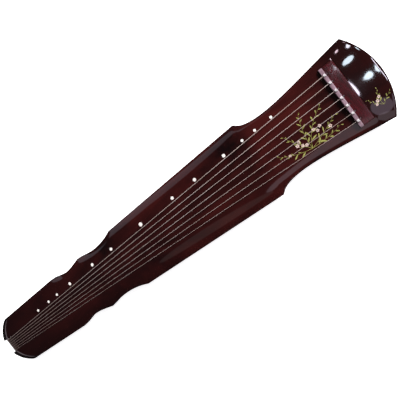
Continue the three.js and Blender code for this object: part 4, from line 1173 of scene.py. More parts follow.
def leaf_mesh(add, length, width, belly):
    """Lens-shaped closed leaf from the origin along X, blunt at both ends; a belly under 1 sets
    its widest place nearer the tip."""
    ball = add("GeometryNodeMeshUVSphere", {"Segments": 8, "Rings": 10, "Radius": 1.0})
    spot = add(SPLIT, (add("GeometryNodeInputPosition"),)).outputs
    along = add(TIMES, (spot[2], 0.5))
    along = add(PLUS, (along, 0.5))
    bent = add(MATH, (along, belly), operation="POWER")
    swell = add(TIMES, (along, math.pi))
    swell = add(SINE, (swell,))
    swell = add(TIMES, (swell, 1 - LEAF_BLUNTNESS))
    swell = add(PLUS, (LEAF_BLUNTNESS, swell))
    half = add(TIMES, (width, 0.5))
    half = add(TIMES, (half, swell))
    placed = add(MERGE, (
        add(TIMES, (bent, length)), add(TIMES, (spot[0], half)), add(TIMES, (spot[1], PAINT_REACH))))
    return add(MOVE, {"Geometry": ball, "Position": placed})


def sprig_tree():
    """Painted sprigs: each curve is a stem whose leaves stand in turn on its two sides, and
    get smaller toward its tip."""
    tree, add, given = new_tree("painted_sprigs", (
        ("Stem Width", "Float", 1 * MM), ("Leaf Length", "Float", 14 * MM), ("Leaf Width", "Float", 4 * MM),
        ("Spacing", "Float", 7 * MM), ("Spread", "Float", 0.7), ("Seed", "Int", 3),
        ("Material", "Material", None)))
    place = add("GeometryNodeSplineParameter").outputs["Factor"]
    thin = add(RANGE, {"Value": place, "To Min": STEM_TAPER[0], "To Max": STEM_TAPER[1]})
    thin = add(TIMES, (given["Stem Width"], thin))
    ring = add("GeometryNodeCurvePrimitiveCircle", {"Resolution": 6, "Radius": 1.0})
    stem = add("GeometryNodeCurveToMesh", {
        "Curve": given["Geometry"], "Profile Curve": ring, "Scale": thin, "Fill Caps": True})
    marked = add(STORE, {"Geometry": given["Geometry"], "Name": "share", "Value": place})
    points = add("GeometryNodeCurveToPoints", {"Curve": marked, "Length": given["Spacing"]}, mode="LENGTH")
    parity = add(MATH, (add("GeometryNodeInputIndex"), 2.0), operation="MODULO")
    hand = add(RANGE, {"Value": parity, "To Min": -1.0, "To Max": 1.0})
    chance = add(CHANCE, {2: LEAF_CHANCE[0], 3: LEAF_CHANCE[1], "Seed": given["Seed"]}).outputs[1]
    angle = add(TIMES, (hand, given["Spread"]))
    angle = add(TIMES, (angle, chance))
    run = add(SPLIT, {0: points.outputs["Tangent"]}).outputs
    bearing = add(MATH, (run[1], run[0]), operation="ARCTAN2")
    bearing = add(PLUS, (bearing, angle))
    share = add(NAMED, {"Name": "share"}, data_type="FLOAT")
    small = add(RANGE, {"Value": share, "To Min": 1.0, "To Max": LAST_LEAF})
    leaves = add(PLACE_ON, {
        "Points": points,
        "Selection": add("FunctionNodeCompare", (share, BARE_STEM), operation="GREATER_THAN"),
        "Instance": leaf_mesh(add, given["Leaf Length"], given["Leaf Width"], LEAF_BELLY),
        "Rotation": add(MERGE, {2: bearing}),
        "Scale": add(TIMES, (small, chance))})
    both = add("GeometryNodeJoinGeometry", {0: stem})
    tree.links.new(leaves.outputs[0], both.inputs[0])
    return close_tree(tree, add(SMOOTH, {"Geometry": both}), given)


def blossom_tree():
    """Five-petal blossoms on points, each turned and sized by chance round a small heart."""
    tree, add, given = new_tree("painted_blossoms", (
        ("Petal Length", "Float", 4 * MM), ("Petal Width", "Float", 3.4 * MM), ("Seed", "Int", 5),
        ("Material", "Material", None)))
    heart = add("GeometryNodeMeshCircle", {"Vertices": PETAL_COUNT, "Radius": HEART_RADIUS})
    spot = add(SPLIT, (add("GeometryNodeInputPosition"),)).outputs
    outward = add(MATH, (spot[1], spot[0]), operation="ARCTAN2")
    petals = add(PLACE_ON, {
        "Points": heart, "Rotation": add(MERGE, {2: outward}),
        "Instance": leaf_mesh(add, given["Petal Length"], given["Petal Width"], PETAL_BELLY)})
    turn, size = (
        add(CHANCE, {2: low, 3: high, "Seed": given["Seed"]}).outputs[1]
        for low, high in (BLOSSOM_TURNS, BLOSSOM_SIZES))
    blossoms = add(PLACE_ON, {
        "Points": given["Geometry"], "Instance": petals, "Rotation": add(MERGE, {2: turn}),
        "Scale": size})
    return close_tree(tree, add(SMOOTH, {"Geometry": blossoms}), given)


TREES = {}


def tree(name):
    """Each tree is built once, when a piece first asks for it."""
    makers = {"cord": cord_tree, "turned": turned_tree, "inlay": inlay_tree, "sprig": sprig_tree,
              "blossom": blossom_tree}
    if name not in TREES:
        TREES[name] = makers[name]()
    return TREES[name]


def curve_of(name, lines, radii=None):
    """Curve object of open poly lines."""
    data = bpy.data.curves.new(name, "CURVE")
    data.dimensions = "3D"
    for k, line in enumerate(lines):
        spline = data.splines.new("POLY")
        spline.points.add(len(line) - 1)
        for i, point in enumerate(line):
            spline.points[i].co = (*point, 1)
            if radii is not None:
                spline.points[i].radius = radii[k]
    return new_object(name, data)


def turned(name, profile, place, finish, sides, flutes=0, depth=0.0, bore=0.0, base=0.0, top=1.0):
    """Piece turned on the lathe from (radius, height) points, standing at a place."""
    outline = curve_of(name, [[(radius, 0, height) for radius, height in profile]])
    return shape_with(tree("turned"), outline, {
        "Sides": sides, "Points": len(profile), "Flutes": flutes, "Flute Depth": depth, "Flute Bore": bore,
        "Flute Base": base, "Flute Top": top, "Place": Vector(place), "Material": material(finish)})


# Boards


def chamber_cutter(body):
    """Hollow of the sound chamber, with raised blocks left over the two sound holes."""
    rim = body.size.chamber_rim
    start, end = body.chamber_start, body.chamber_end
    backs = np.unique(np.concatenate((
        np.arange(start, end, CHAMBER_STEP), (start + rim, end - rim, end, body.cusp, body.shoulder + rim))))
    shares = np.linspace(-1, 1, CHAMBER_COLUMNS)
    rows = []
    for back in backs:
        least = min(float(body.half_width(back + d)) for d in (-rim, 0, rim))
        inside = min(back - start, end - back, rim)
        half = least - rim - (rim - inside)
        rows.append(np.stack((np.full(len(shares), back), shares * half), 1))
    rows = np.array(rows)
    back, across = rows[..., 0], rows[..., 1]

    def reach(distance, half):
        return np.clip((half - distance) / BLOCK_RAMP + 1, 0, 1)

    blocks = sum(
        reach(np.abs(back - first - length / 2), length / 2 + BLOCK_MARGIN)
        * reach(np.abs(across), BLOCK_HALF_WIDTH) for first, length in body.sound_holes)
    ceiling = body.arch_height(back, across) - body.size.roof_thickness - BLOCK_RISE * blocks
    return slab(body, "chamber_cut", rows, ceiling, np.full(back.shape, body.seam - CUT_OVER))


def head_rows(start, end, row_shares, half, columns):
    """Grid across the head; the columns crowd together at both ends."""
    shares = np.sin(np.linspace(-math.pi / 2, math.pi / 2, columns + 1))
    return np.array([[(blend(start, end, r), c * half) for c in shares] for r in row_shares])


def cord_hole_cutters(body, low, high):
    return [
        drum("hole_cut", CORD_HOLE_WIDTH, low, high, body.point(body.cord_hole, body.string_across(n), 0),
             HOLE_SIDES) for n in range(1, STRING_COUNT + 1)]


def nut_slot_cutter(body, front, low, high):
    half = body.half_nut + NUT_GAP
    return block("slot_cut", (body.head_end - body.length - CUT_OVER, -half, low),
                 (body.head_end - front + SEAT_GAP, half, high))


def stud_frames(body):
    """Place, facing and width of each stud."""
    string_length = body.nut_crest - body.bearing
    step = body.fit.stud_small / 2
    frames = []
    for n, fraction in enumerate(STUD_FRACTIONS):
        back = body.bearing + fraction * string_length
        across = blend(STUD_FIRST, STUD_LAST, fraction) + STUD_BOW * 4 * fraction * (1 - fraction)
        along = body.top_height(back - step, across) - body.top_height(back + step, across)
        aside = body.top_height(back, across + step) - body.top_height(back, across - step)
        facing = Vector((-float(along) / (2 * step), -float(aside) / (2 * step), 1)).normalized()
        from_middle = abs(n - STUD_COUNT // 2)
        width = body.fit.stud_small if from_middle >= SMALL_STUDS_FROM else body.fit.stud_middle
        if from_middle == 0:
            width = body.fit.stud_large
        frames.append((body.point(back, across, float(body.top_height(back, across))), facing, width))
    return frames


def make_top_board(body):
    rows = body.board_rows()
    back, across = rows[..., 0], rows[..., 1]
    seam = np.full(back.shape, body.seam)
    board = slab(body, "lacquered_top_board", rows, body.top_height(back, across), seam)
    board.data.materials.append(material("lacquer"))
    gap = SEAT_GAP
    bed_rows = head_rows(
        body.strip_back - gap, body.fit.head_length + gap, np.linspace(0, 1, BED_ROWS),
        body.half_bridge + gap, BED_COLUMNS)
    top = body.top_height(bed_rows[..., 0], bed_rows[..., 1])
    bed = slab(body, "bed_cut", bed_rows, top + CUT_OVER, top - body.fit.inlay_depth)
    low, high = body.seam - CUT_OVER, body.seam + body.size.thickness
    slot = nut_slot_cutter(body, body.nut_front, low, high)
    small = cord_hole_cutters(body, low, high)
    for place, facing, width in stud_frames(body):
        turn = Vector((0, 0, 1)).rotation_difference(facing).to_matrix().to_4x4()
        small.append(drum(
            "pocket_cut", width + gap, -STUD_THICKNESS - gap, CUT_OVER, place, HOLE_SIDES, turn))
    cut_away(board, chamber_cutter(body), bed, slot, joined("small_cuts", small), finish="raw_wood")
    smooth(board, BOARD_CREASE)
    finish_piece(board, ["top_board"])


def rounded_path(start, end, half, steps=14):
    """Slot outline with round ends along X, as plan points."""
    points = []
    for centre, first in ((end - half, -math.pi / 2), (start + half, math.pi / 2)):
        for i in range(steps + 1):
            angle = first + math.pi * i / steps
            points.append((centre + half * math.cos(angle), half * math.sin(angle)))
    return points


def rounded_box(x, y, length, width, corner, steps=6):
    points = []
    for sx, sy, first in ((1, 1, 0), (-1, 1, 1), (-1, -1, 2), (1, -1, 3)):
        for i in range(steps + 1):
            angle = (first + i / steps) * math.pi / 2
            points.append((x + sx * (length / 2 - corner) + corner * math.cos(angle),
                           y + sy * (width / 2 - corner) + corner * math.sin(angle)))
    return points


def bottom_plan(body):
    """Outline of the bottom board, anticlockwise, and the way inward at each of its points."""
    rows = body.board_rows()
    corners = [rows[i, j] for i in (0, -1) for j in (0, -1)]
    clear = CORNER_CLEARANCE * body.size.bottom_round
    loop = [p for p in rim_of(rows) if all(math.dist(p, c) > clear or math.dist(p, c) == 0 for c in corners)]
    plan = np.array([(body.head_end - back, across) for back, across in loop])
    before, after = np.roll(plan, 1, 0), np.roll(plan, -1, 0)
    area = 0.5 * np.sum(plan[:, 0] * after[:, 1] - after[:, 0] * plan[:, 1])
    if area < 0:
        plan, before, after = plan[::-1], after[::-1], before[::-1]
    run = after - before
    return plan, np.stack((-run[:, 1], run[:, 0]), 1) / np.hypot(run[:, 0], run[:, 1])[:, None]


def make_bottom_board(body):
    plan, inward = bottom_plan(body)
    radius, low, high = body.size.bottom_round, body.size.stand_height, body.seam
    rings = [(0.0, high)]
    for angle in np.linspace(0, math.pi / 2, LOWER_EDGE_STEPS):
        rings.append((radius * (1 - math.cos(angle)), low + radius * (1 - math.sin(angle))))
    count = len(plan)
    points = np.vstack([np.column_stack((plan + inward * inset, np.full(count, up))) for inset, up in rings])
    faces = [tuple(range(count)), tuple(range(len(points) - 1, len(points) - count - 1, -1))]
    for ring in range(len(rings) - 1):
        a, b = ring * count, (ring + 1) * count
        faces += [(b + i, b + (i + 1) % count, a + (i + 1) % count, a + i) for i in range(count)]
    board = new_object("lacquered_bottom_board", mesh_of("lacquered_bottom_board", points, faces))
    board.data.materials.append(material("lacquer"))
    low, high = low - CUT_OVER, high + CUT_OVER
    cuts = []
    for start, length in body.sound_holes:
        x = body.head_end - start
        opening = rounded_path(x - length, x, body.size.sound_hole_width / 2)
        cuts.append(prism("sound_cut", opening, low, high))
    plate_low, plate_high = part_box("peg_pool_plate")
    plate = plate_high - plate_low
    opening = rounded_box(
        body.head_end - body.cord_hole, 0, plate.x + 2 * SEAT_GAP, plate.y + 2 * SEAT_GAP, POOL_CORNER)
    cuts.append(prism("pool_cut", opening, low, high))
    for side in (1, -1):
        cuts.append(drum("socket_cut", SOCKET_WIDTH + 2 * SEAT_GAP, low, high, body.foot(side), SOCKET_SIDES))
    cuts.append(nut_slot_cutter(body, body.nut_back - SUPPORT_LENGTH, low, high))
    cut_away(board, joined("board_cuts", cuts), finish="raw_wood")
    smooth(board, BOARD_CREASE, weighted=True)
    finish_piece(board, ["bottom_board"])


# Bridge and strip


def edge_shares(width, radius, steps=5):
    """Row shares over a width whose two edges are rounded by a radius."""
    turn = 1 - np.cos(np.linspace(0, math.pi / 2, steps + 1))
    near = turn * radius / width
    return np.concatenate((near, (0.5,), 1 - near[::-1]))


def inlay_seat(body, back, across):
    return body.top_height(back, across) - body.fit.inlay_depth + SEAT_GAP


def make_bridge(body):
    fit = body.fit
    front, rear = fit.head_length, fit.head_length - fit.bridge_width + SEAT_GAP / 2
    shares = edge_shares(front - rear, fit.bridge_top_radius)
    rows = head_rows(rear, front, shares, body.half_bridge, BRIDGE_COLUMNS)
    back, across = rows[..., 0], rows[..., 1]
    inward = np.minimum(front - back, back - rear)
    upper = body.ridge_height(across) - rounded_drop(inward, fit.bridge_top_radius)
    piece = slab(body, "rosewood_bridge", rows, upper, inlay_seat(body, back, across))
    smooth(piece, CREASE)
    finish_piece(piece, ["bridge"], "bridge")


def make_strip(body):
    fit = body.fit
    start, end = body.strip_back, body.strip_back + fit.strip_width - SEAT_GAP / 2
    shares = np.unique(np.concatenate((edge_shares(end - start, STRIP_RADIUS), STRIP_ROWS)))
    rows = head_rows(start, end, shares, body.half_bridge, BRIDGE_COLUMNS)
    back, across = rows[..., 0], rows[..., 1]
    inward = np.minimum.reduce((back - start, end - back, body.half_bridge - np.abs(across)))
    upper = body.top_height(back, across) + fit.strip_proud - rounded_drop(inward, STRIP_RADIUS)
    piece = slab(body, "sandalwood_strip", rows, upper, inlay_seat(body, back, across))
    piece.data.materials.append(material("strip"))
    cut_away(piece, joined("cord_cuts", cord_hole_cutters(body, body.seam, body.seam + body.size.thickness)))
    smooth(piece, CREASE)
    finish_piece(piece, ["dew_collector"])


# Tail


class NutLine:
    """Side view of the tail nut and its support, kept at a distance from the wood."""

    def __init__(self, body):
        self.body = body
        self.crest_level = float(body.arch_height(body.nut_crest, 0)) + body.fit.nut_proud
        self.lip = body.nut_back - NUT_LIP_RADIUS
        self.fall_angle = math.asin((self.lip - body.nut_crest) / (NUT_FALL_RADIUS - NUT_LIP_RADIUS))
        self.lip_level = (self.crest_level - NUT_FALL_RADIUS
                          + (NUT_FALL_RADIUS - NUT_LIP_RADIUS) * math.cos(self.fall_angle))

    def over(self, off, fall_steps=6, lip_steps=8):
        points = []
        for i in range(fall_steps + 1):
            angle = self.fall_angle * i / fall_steps
            radius = NUT_FALL_RADIUS + off
            points.append((self.body.nut_crest + radius * math.sin(angle),
                           self.crest_level - NUT_FALL_RADIUS + radius * math.cos(angle)))
        for i in range(1, lip_steps + 1):
            angle = blend(self.fall_angle, math.pi / 2, i / lip_steps)
            radius = NUT_LIP_RADIUS + off
            points.append((self.lip + radius * math.sin(angle), self.lip_level + radius * math.cos(angle)))
        return points

    def under(self, off, steps=8):
        radius = SUPPORT_RADIUS + off
        low = self.body.size.stand_height + SUPPORT_RADIUS
        return [(self.body.nut_back - SUPPORT_RADIUS + radius * math.cos(math.pi / 2 * i / steps),
                 low - radius * math.sin(math.pi / 2 * i / steps)) for i in range(steps + 1)]


def make_nut(body):
    """Tail nut, and below it the support over which the strings turn."""
    line = NutLine(body)
    front = (body.nut_front, float(body.arch_height(body.nut_front, 0)))
    rise = []
    for i in range(1, NUT_RISE_STEPS):
        share = i / NUT_RISE_STEPS
        rise.append((blend(front[0], body.nut_crest, share),
                     blend(front[1], line.crest_level, math.sin(share * math.pi / 2))))
    over = [(body.nut_front, body.seam), front, *rise, *line.over(0), (body.nut_back, body.seam)]
    start = body.nut_back - SUPPORT_LENGTH
    under = [(start, body.seam), (body.nut_back, body.seam), *line.under(0), (start, body.size.stand_height)]
    half = body.fit.nut_width / 2
    for name, outline, node, finish in (
            ("tail_nut_bar", over, "tail_nut", "nut"),
            ("tail_nut_support", under, "nut_support", "hardwood")):
        piece = pulled_across(name, [(body.head_end - back, up) for back, up in outline], half, -half)
        round_edges(piece, NUT_EDGE, NUT_BEVEL_CREASE)
        smooth(piece, CREASE, weighted=True)
        finish_piece(piece, [node], finish)


def make_crown(body, word, side):
    """Dark corner round the tail, with a soft bead along its inner edge."""
    fit, size = body.fit, body.size
    rows = []
    shares = np.linspace(0, 1, CROWN_ROWS)
    for share in shares:
        corner = blend(body.tail_corner, body.crown_inner, share)
        half = float(body.half_width(corner))
        notch_run = min(share * fit.crown_width / size.notch_depth, 1)
        inner = blend(body.half_notch, body.half_nut + NUT_GAP, notch_run)
        roll = float(body.edge_roll(corner))
        flat = np.linspace(half - roll, inner, CROWN_COLUMNS)[1:]
        across = np.concatenate((half - ROLL_SHARES * roll, flat))
        rows.append(np.stack((corner + bulge(body.tail_radius, half, across), side * across), 1))
    rows = np.array(rows)
    back, across = rows[..., 0], rows[..., 1]
    inward = body.edge_distance(back, across) / fit.crown_width
    near, far = CROWN_BEAD_FADE
    share = shares[:, None]
    fade = np.clip((inward - near) / (far - near), 0, 1)
    bead = np.exp(-((share - CROWN_BEAD) / CROWN_BEAD_WIDTH) ** 2) * fade
    upper = body.top_height(back, across) + fit.crown_proud * (share + CROWN_BEAD_RISE * bead)
    piece = slab(body, "crown_" + word, rows, upper, np.full(back.shape, size.stand_height))
    # The bead's profile, stored as an attribute, is where the crown gets its painted highlight
    wear = piece.data.attributes.new("wear", "FLOAT", "POINT")
    wear.data.foreach_set("value", np.concatenate((bead.ravel(), np.zeros(bead.size))))
    smooth(piece, CREASE)
    finish_piece(piece, ["crown_corner_" + word], "crown")


# Guards, pegs and feet


def make_guard(body, word):
    """Curved guard beside the pegs, which carries the head."""
    low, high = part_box("peg_guard_" + word)
    centre = (low.x + high.x) / 2
    top, foot, stand = (high.x - low.x) / 2, GUARD_FOOT_LENGTH / 2, body.size.stand_height
    pulls = [(foot, 0), *((out * foot, up * stand) for out, up in GUARD_PULLS), (top, stand)]
    curve = []
    for t in np.linspace(0, 1, GUARD_STEPS):
        weights = ((1 - t) ** 3, 3 * (1 - t) ** 2 * t, 3 * (1 - t) * t ** 2, t ** 3)
        curve.append(tuple(sum(w * p[k] for w, p in zip(weights, pulls)) for k in (0, 1)))
    outline = [(centre + x, up) for x, up in curve] + [(centre - x, up) for x, up in reversed(curve)]
    piece = pulled_across("guard_" + word, outline, low.y, high.y)
    round_edges(piece, GUARD_EDGE, CREASE)
    smooth(piece, CREASE, weighted=True)
    finish_piece(piece, ["peg_guard_" + word], "hardwood")


def smooth_profile(points, steps):
    """Soft curve through (radius, height) points, kept inside their spans."""
    given = np.array(points, float)
    fine = []
    for i in range(len(given) - 1):
        p0, p1, p2, p3 = (given[max(i - 1, 0)], given[i], given[i + 1], given[min(i + 2, len(given) - 1)])
        for t in np.linspace(0, 1, steps, endpoint=False):
            fine.append(0.5 * (2 * p1 + (p2 - p0) * t + (2 * p0 - 5 * p1 + 4 * p2 - p3) * t ** 2
                               + (3 * p1 - p0 - 3 * p2 + p3) * t ** 3))
    return [tuple(p) for p in (*fine, given[-1])]


def make_peg(body, n):
    low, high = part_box("tuning_peg_%d" % n)
    centre = ((low.x + high.x) / 2, (low.y + high.y) / 2, 0)
    radius, height, bore = body.fit.peg_width / 2, high.z - low.z, PEG_BORE / 2
    outer = smooth_profile([(r * radius, low.z + h * height) for r, h in PEG_PROFILE], PEG_SPAN_STEPS)
    profile = [(bore, low.z), *outer, (bore, high.z), (bore, low.z)]
    piece = turned(
        "turned_peg_%d" % n, profile, centre, "hardwood", TURNED_SIDES, flutes=FLUTE_COUNT,
        depth=body.fit.peg_flute, bore=bore + SEAT_GAP, base=low.z, top=low.z + FLUTE_TOP_SHARE * height)
    piece.data.set_sharp_from_angle(angle=math.radians(CREASE))
    finish_piece(piece, ["tuning_peg_%d" % n], body="peg_%d" % n)


def make_foot(body, word, side):
    stand = body.size.stand_height
    waist, base, top = FOOT_WAIST_WIDTH / 2, FOOT_BASE_WIDTH / 2, FOOT_TOP_WIDTH / 2
    waist_high = stand - FOOT_COLLAR
    profile = [(0, 0), *((base + out * MM, up * MM) for out, up in FOOT_BASE_EDGE)]
    edge_top = profile[-1][1]
    for t in FOOT_FLARE_SHARES:
        profile.append((blend(base, waist, math.sin(t * math.pi / 2)), blend(edge_top, FOOT_FLARE, t)))
    profile.append((waist, waist_high))
    for t in FOOT_COLLAR_SHARES:
        profile.append((blend(waist, top, t), waist_high + FOOT_COLLAR / 2 * t ** 2))
    profile += [(top, stand - FOOT_TOP_EDGE), (top - FOOT_TOP_EDGE, stand), (0, stand)]
    piece = turned("turned_foot_" + word, profile, body.foot(side), "hardwood", TURNED_SIDES)
    piece.data.set_sharp_from_angle(angle=math.radians(CREASE))
    finish_piece(piece, ["goose_foot_" + word])


# Studs


def make_studs(body):
    """Shell discs, slightly domed, let into the lacquer on the far side."""
    dome = [(0, -STUD_THICKNESS), (0.5, -STUD_THICKNESS)]
    dome += [(share, STUD_PROUD + up * MM) for share, up in STUD_DOME]
    disc = turned("stud_disc", dome, (0, 0, 0), "pearl", STUD_SIDES)
    frames = stud_frames(body)
    mesh = mesh_of("shell_studs", [place for place, facing, width in frames], [])
    mesh.attributes.new("facing", "FLOAT_VECTOR", "POINT")
    mesh.attributes.new("width", "FLOAT", "POINT")
    for i, (place, facing, width) in enumerate(frames):
        mesh.attributes["facing"].data[i].vector = facing
        mesh.attributes["width"].data[i].value = width
    points = new_object("shell_studs", mesh)
    piece = shape_with(tree("inlay"), points, {"Disc": disc, "Material": material("pearl")})
    bpy.data.objects.remove(disc)
    piece.data.set_sharp_from_angle(angle=math.radians(STUD_CREASE))
    finish_piece(piece, ["stud_%02d" % (n + 1) for n in range(STUD_COUNT)])


# Strings and silk


def winding_start(body, n):
    """Level where a string's winding starts, below those wound above it."""
    first = 1 if n <= FAR_STRING_COUNT else FAR_STRING_COUNT + 1
    level = body.size.stand_height - FOOT_COLLAR - WINDING_GAP
    for k in range(first, n):
        width = body.string_width(k)
        level -= body.strings.turns_on_foot * (width + TURN_GAP) + width + WINDING_GAP
    return level - body.string_width(n) / 2


def winding(body, n, start):
    """Turns of a string round its goose foot, from the point where it leaves the support."""
    side = 1 if n <= FAR_STRING_COUNT else -1
    centre = body.foot(side)
    width = body.string_width(n)
    radius = FOOT_WAIST_WIDTH / 2 + SEAT_GAP + width / 2
    away = start - centre
    first = math.atan2(away.y, away.x) - side * math.acos(radius / math.hypot(away.x, away.y))
    points = []
    for i in range(body.strings.turns_on_foot * TURN_STEPS + 1):
        angle = first - side * 2 * math.pi * i / TURN_STEPS
        up = winding_start(body, n) - (width + TURN_GAP) * i / TURN_STEPS
        points.append(Vector((centre.x + radius * math.cos(angle), centre.y + radius * math.sin(angle), up)))
    return points


def string_path(body, n):
    """From the knot on the bridge, over the nut, down the notch and round the goose foot."""
    line = NutLine(body)
    off = SEAT_GAP + body.string_width(n) / 2
    across = body.string_across(n)
    level = float(body.ridge_height(across)) + off
    nut_across = across * body.strings.nut_spacing / body.strings.spacing
    points = [body.point(body.fit.head_length - KNOT_INSET + KNOT_RADIUS, across, level),
              body.point(body.bearing, across, level)]
    points += [body.point(back, nut_across, up) for back, up in (*line.over(off), *line.under(off))]
    return points + winding(body, n, points[-1])


def knot_path(body, n):
    """Plump coil in which the string ends round its silk loop, thinner toward the string."""
    across = body.string_across(n)
    up = float(body.ridge_height(across)) + SEAT_GAP + KNOT_RADIUS
    middle = body.fit.head_length - KNOT_INSET
    rise = KNOT_RADIUS - KNOT_THREAD / 2
    points = []
    for i in range(KNOT_TURNS * KNOT_STEPS + 1):
        angle = math.pi + 2 * math.pi * i / KNOT_STEPS
        share = i / (KNOT_TURNS * KNOT_STEPS)
        back = middle + (share - 0.5) * KNOT_PITCH * KNOT_TURNS
        aside = (KNOT_HALF_WIDTH - KNOT_THREAD / 2) * blend(1, KNOT_TAPER, share)
        points.append(body.point(back, across + aside * math.sin(angle), up + rise * math.cos(angle)))
    return points


def silk_path(body, n):
    """From inside the peg, up through the head and over the back of the bridge."""
    fit = body.fit
    across = body.string_across(n)
    off = SEAT_GAP + body.strings.silk_width / 2
    ridge = float(body.ridge_height(across))
    rear = fit.head_length - fit.bridge_width
    bend = fit.bridge_top_radius + off
    edge = ridge - fit.bridge_top_radius
    hole_top = float(body.top_height(body.cord_hole, across)) + fit.strip_proud
    points = [body.point(body.cord_hole, across, body.size.stand_height - SILK_REACH),
              body.point(body.cord_hole, across, hole_top),
              body.point(rear - off, across, blend(hole_top, edge, SILK_RISE_SHARE))]
    for share in SILK_BEND_SHARES:
        angle = share * math.pi / 2
        points.append(body.point(rear + fit.bridge_top_radius - bend * math.cos(angle), across,
                                 edge + bend * math.sin(angle)))
    points.append(body.point(fit.head_length - KNOT_INSET - KNOT_RADIUS, across, ridge + off))
    return points


def make_string(body, n):
    width = body.string_width(n)
    lines = curve_of(
        "wound_string_%d" % n, (string_path(body, n), knot_path(body, n)), (1.0, KNOT_THREAD / width))
    piece = shape_with(tree("cord"), lines, {
        "Width": width, "Sides": STRING_SIDES, "Material": material("string")})
    finish_piece(piece, ["string_%d" % n])


def make_silk(body, n):
    line = curve_of("silk_cord_%d" % n, [silk_path(body, n)])
    piece = shape_with(tree("cord"), line, {
        "Width": body.strings.silk_width, "Plies": SILK_PLIES, "Step": SILK_STEP, "Sides": SILK_SIDES,
        "Lay": body.strings.silk_lay, "Material": material("silk")})
    finish_piece(piece, ["silk_loop_%d" % n])


# Painted sprigs


def board_point(body, place):
    back, across = place[0] * MM, place[1] * MM
    return body.point(back, across, float(body.top_height(back, across)))


def stem_curves(body, name, stems):
    """Bent stems that lie on the board."""
    lines = []
    for start, bend, end in stems:
        line = []
        for t in np.linspace(0, 1, STEM_STEPS):
            spot = [(1 - t) ** 2 * a + 2 * (1 - t) * t * b + t ** 2 * c for a, b, c in zip(start, bend, end)]
            line.append(board_point(body, spot))
        lines.append(line)
    return curve_of(name, lines)


def flatten_on(body, piece, thickness):
    """Presses round strokes flat on the lacquer, a fraction of a millimetre thick."""
    places = np.zeros(len(piece.data.vertices) * 3)
    piece.data.vertices.foreach_get("co", places)
    places = places.reshape(-1, 3)
    level = body.top_height(body.head_end - places[:, 0], places[:, 1])
    above = np.clip((places[:, 2] - level) / PAINT_REACH, -1, 1)
    places[:, 2] = level + above * thickness
    piece.data.vertices.foreach_set("co", places.ravel())
    piece.data.update()


def make_sprigs(body):
    """Generic leafy sprigs and five-petal blossoms in thin raised paint."""
    for name, stems, length, width, spacing in SPRIGS:
        piece = shape_with(tree("sprig"), stem_curves(body, name, stems), {
            "Leaf Length": length * MM, "Leaf Width": width * MM, "Spacing": spacing * MM,
            "Stem Width": STEM_SHARE * length * MM, "Material": material("leaf")})
        flatten_on(body, piece, PAINT_THICKNESS)
        finish_piece(piece, [])
    mesh = mesh_of("painted_blossoms", [board_point(body, place) for place in BLOSSOMS], [])
    points = new_object("painted_blossoms", mesh)
    piece = shape_with(tree("blossom"), points, {"Material": material("blossom")})
    flatten_on(body, piece, BLOSSOM_THICKNESS)
    finish_piece(piece, [])


# Stage


def area_light(name, place, target, size, watts, colour):
    light = bpy.data.lights.new(name, "AREA")
    light.shape = "ELLIPSE"
    light.size, light.size_y = size
    light.energy = watts
    light.color = linear(colour)[:3]
    lamp = new_object(name, light)
    lamp.location = place
    lamp.rotation_euler = (Vector(target) - Vector(place)).to_track_quat("-Z", "Y").to_euler()


def make_floor(side):
    """White sheet under the instrument, which no glossy surface mirrors."""
    half = side / 2
    corners = ((-half, -half, 0), (half, -half, 0), (half, half, 0), (-half, half, 0))
    sheet = new_object("floor_sheet", mesh_of("floor_sheet", corners, [(0, 1, 2, 3)]))
    sheet.data.materials.append(material("floor"))
    sheet.visible_glossy = False


def make_lights():
    for name, place, target, size, watts, colour in LIGHTS:
        area_light(name, place, target, size, watts, colour)
    sun = bpy.data.lights.new("head_key", "SUN")
    sun.energy = KEY_STRENGTH
    sun.angle = KEY_SPREAD
    key = new_object("head_key", sun)
    key.visible_glossy = False
    key.rotation_euler = Vector(KEY_TRAVEL).to_track_quat("-Z", "Y").to_euler()


def make_room():
    """Dim grey room, a little brighter toward the head."""
    room = bpy.data.worlds.new("studio")
    bpy.context.scene.world = room
    room.use_nodes = True
    nodes = room.node_tree
    nodes.nodes.clear()
    way = add_node(nodes, "ShaderNodeTexCoord").outputs["Generated"]
    toward = add_node(nodes, "ShaderNodeVectorMath", {0: way, 1: ROOM_BRIGHT_WAY}, operation="DOT_PRODUCT")
    stops = [(place, grey(value)) for place, value in ROOM_GREYS]
    tone = add_node(nodes, RAMP, {"Fac": toward.outputs["Value"]}, stops=stops)
    glow = add_node(nodes, "ShaderNodeBackground", {"Color": tone, "Strength": 1.0})
    add_node(nodes, "ShaderNodeOutputWorld", {"Surface": glow})


def make_stage():
    scene = bpy.context.scene
    stage = scene.guqin_stage
    make_floor(stage.floor_side)
    make_lights()
    make_room()
    camera = new_object("camera", bpy.data.cameras.new("camera"))
    camera.data.lens = stage.lens
    camera.data.sensor_width = SENSOR_WIDTH
    camera.location = stage.camera_place
    camera.rotation_euler = stage.camera_turn
    scene.camera = camera
    scene.view_settings.view_transform = "Standard"


# Operators


class GUQIN_OT_boards(bpy.types.Operator):
    """Make the lacquered top and bottom boards"""
    bl_idname = "guqin.boards"
    bl_label = "Boards"

    def execute(self, context):
        body = Body()
        make_top_board(body)
        make_bottom_board(body)
        for node in ("sound_post_round", "sound_post_square"):
            finish_node(node, "raw_wood")
        return {"FINISHED"}


class GUQIN_OT_head_fittings(bpy.types.Operator):
    """Make the bridge, the strip behind it, the pegs and the peg guards"""
    bl_idname = "guqin.head_fittings"
    bl_label = "Head fittings"

    def execute(self, context):
        body = Body()
        make_bridge(body)
        make_strip(body)
        for n in range(1, STRING_COUNT + 1):
            make_peg(body, n)
        for word in ("far", "near"):
            make_guard(body, word)
        finish_node("peg_pool_plate", "hardwood")
        return {"FINISHED"}


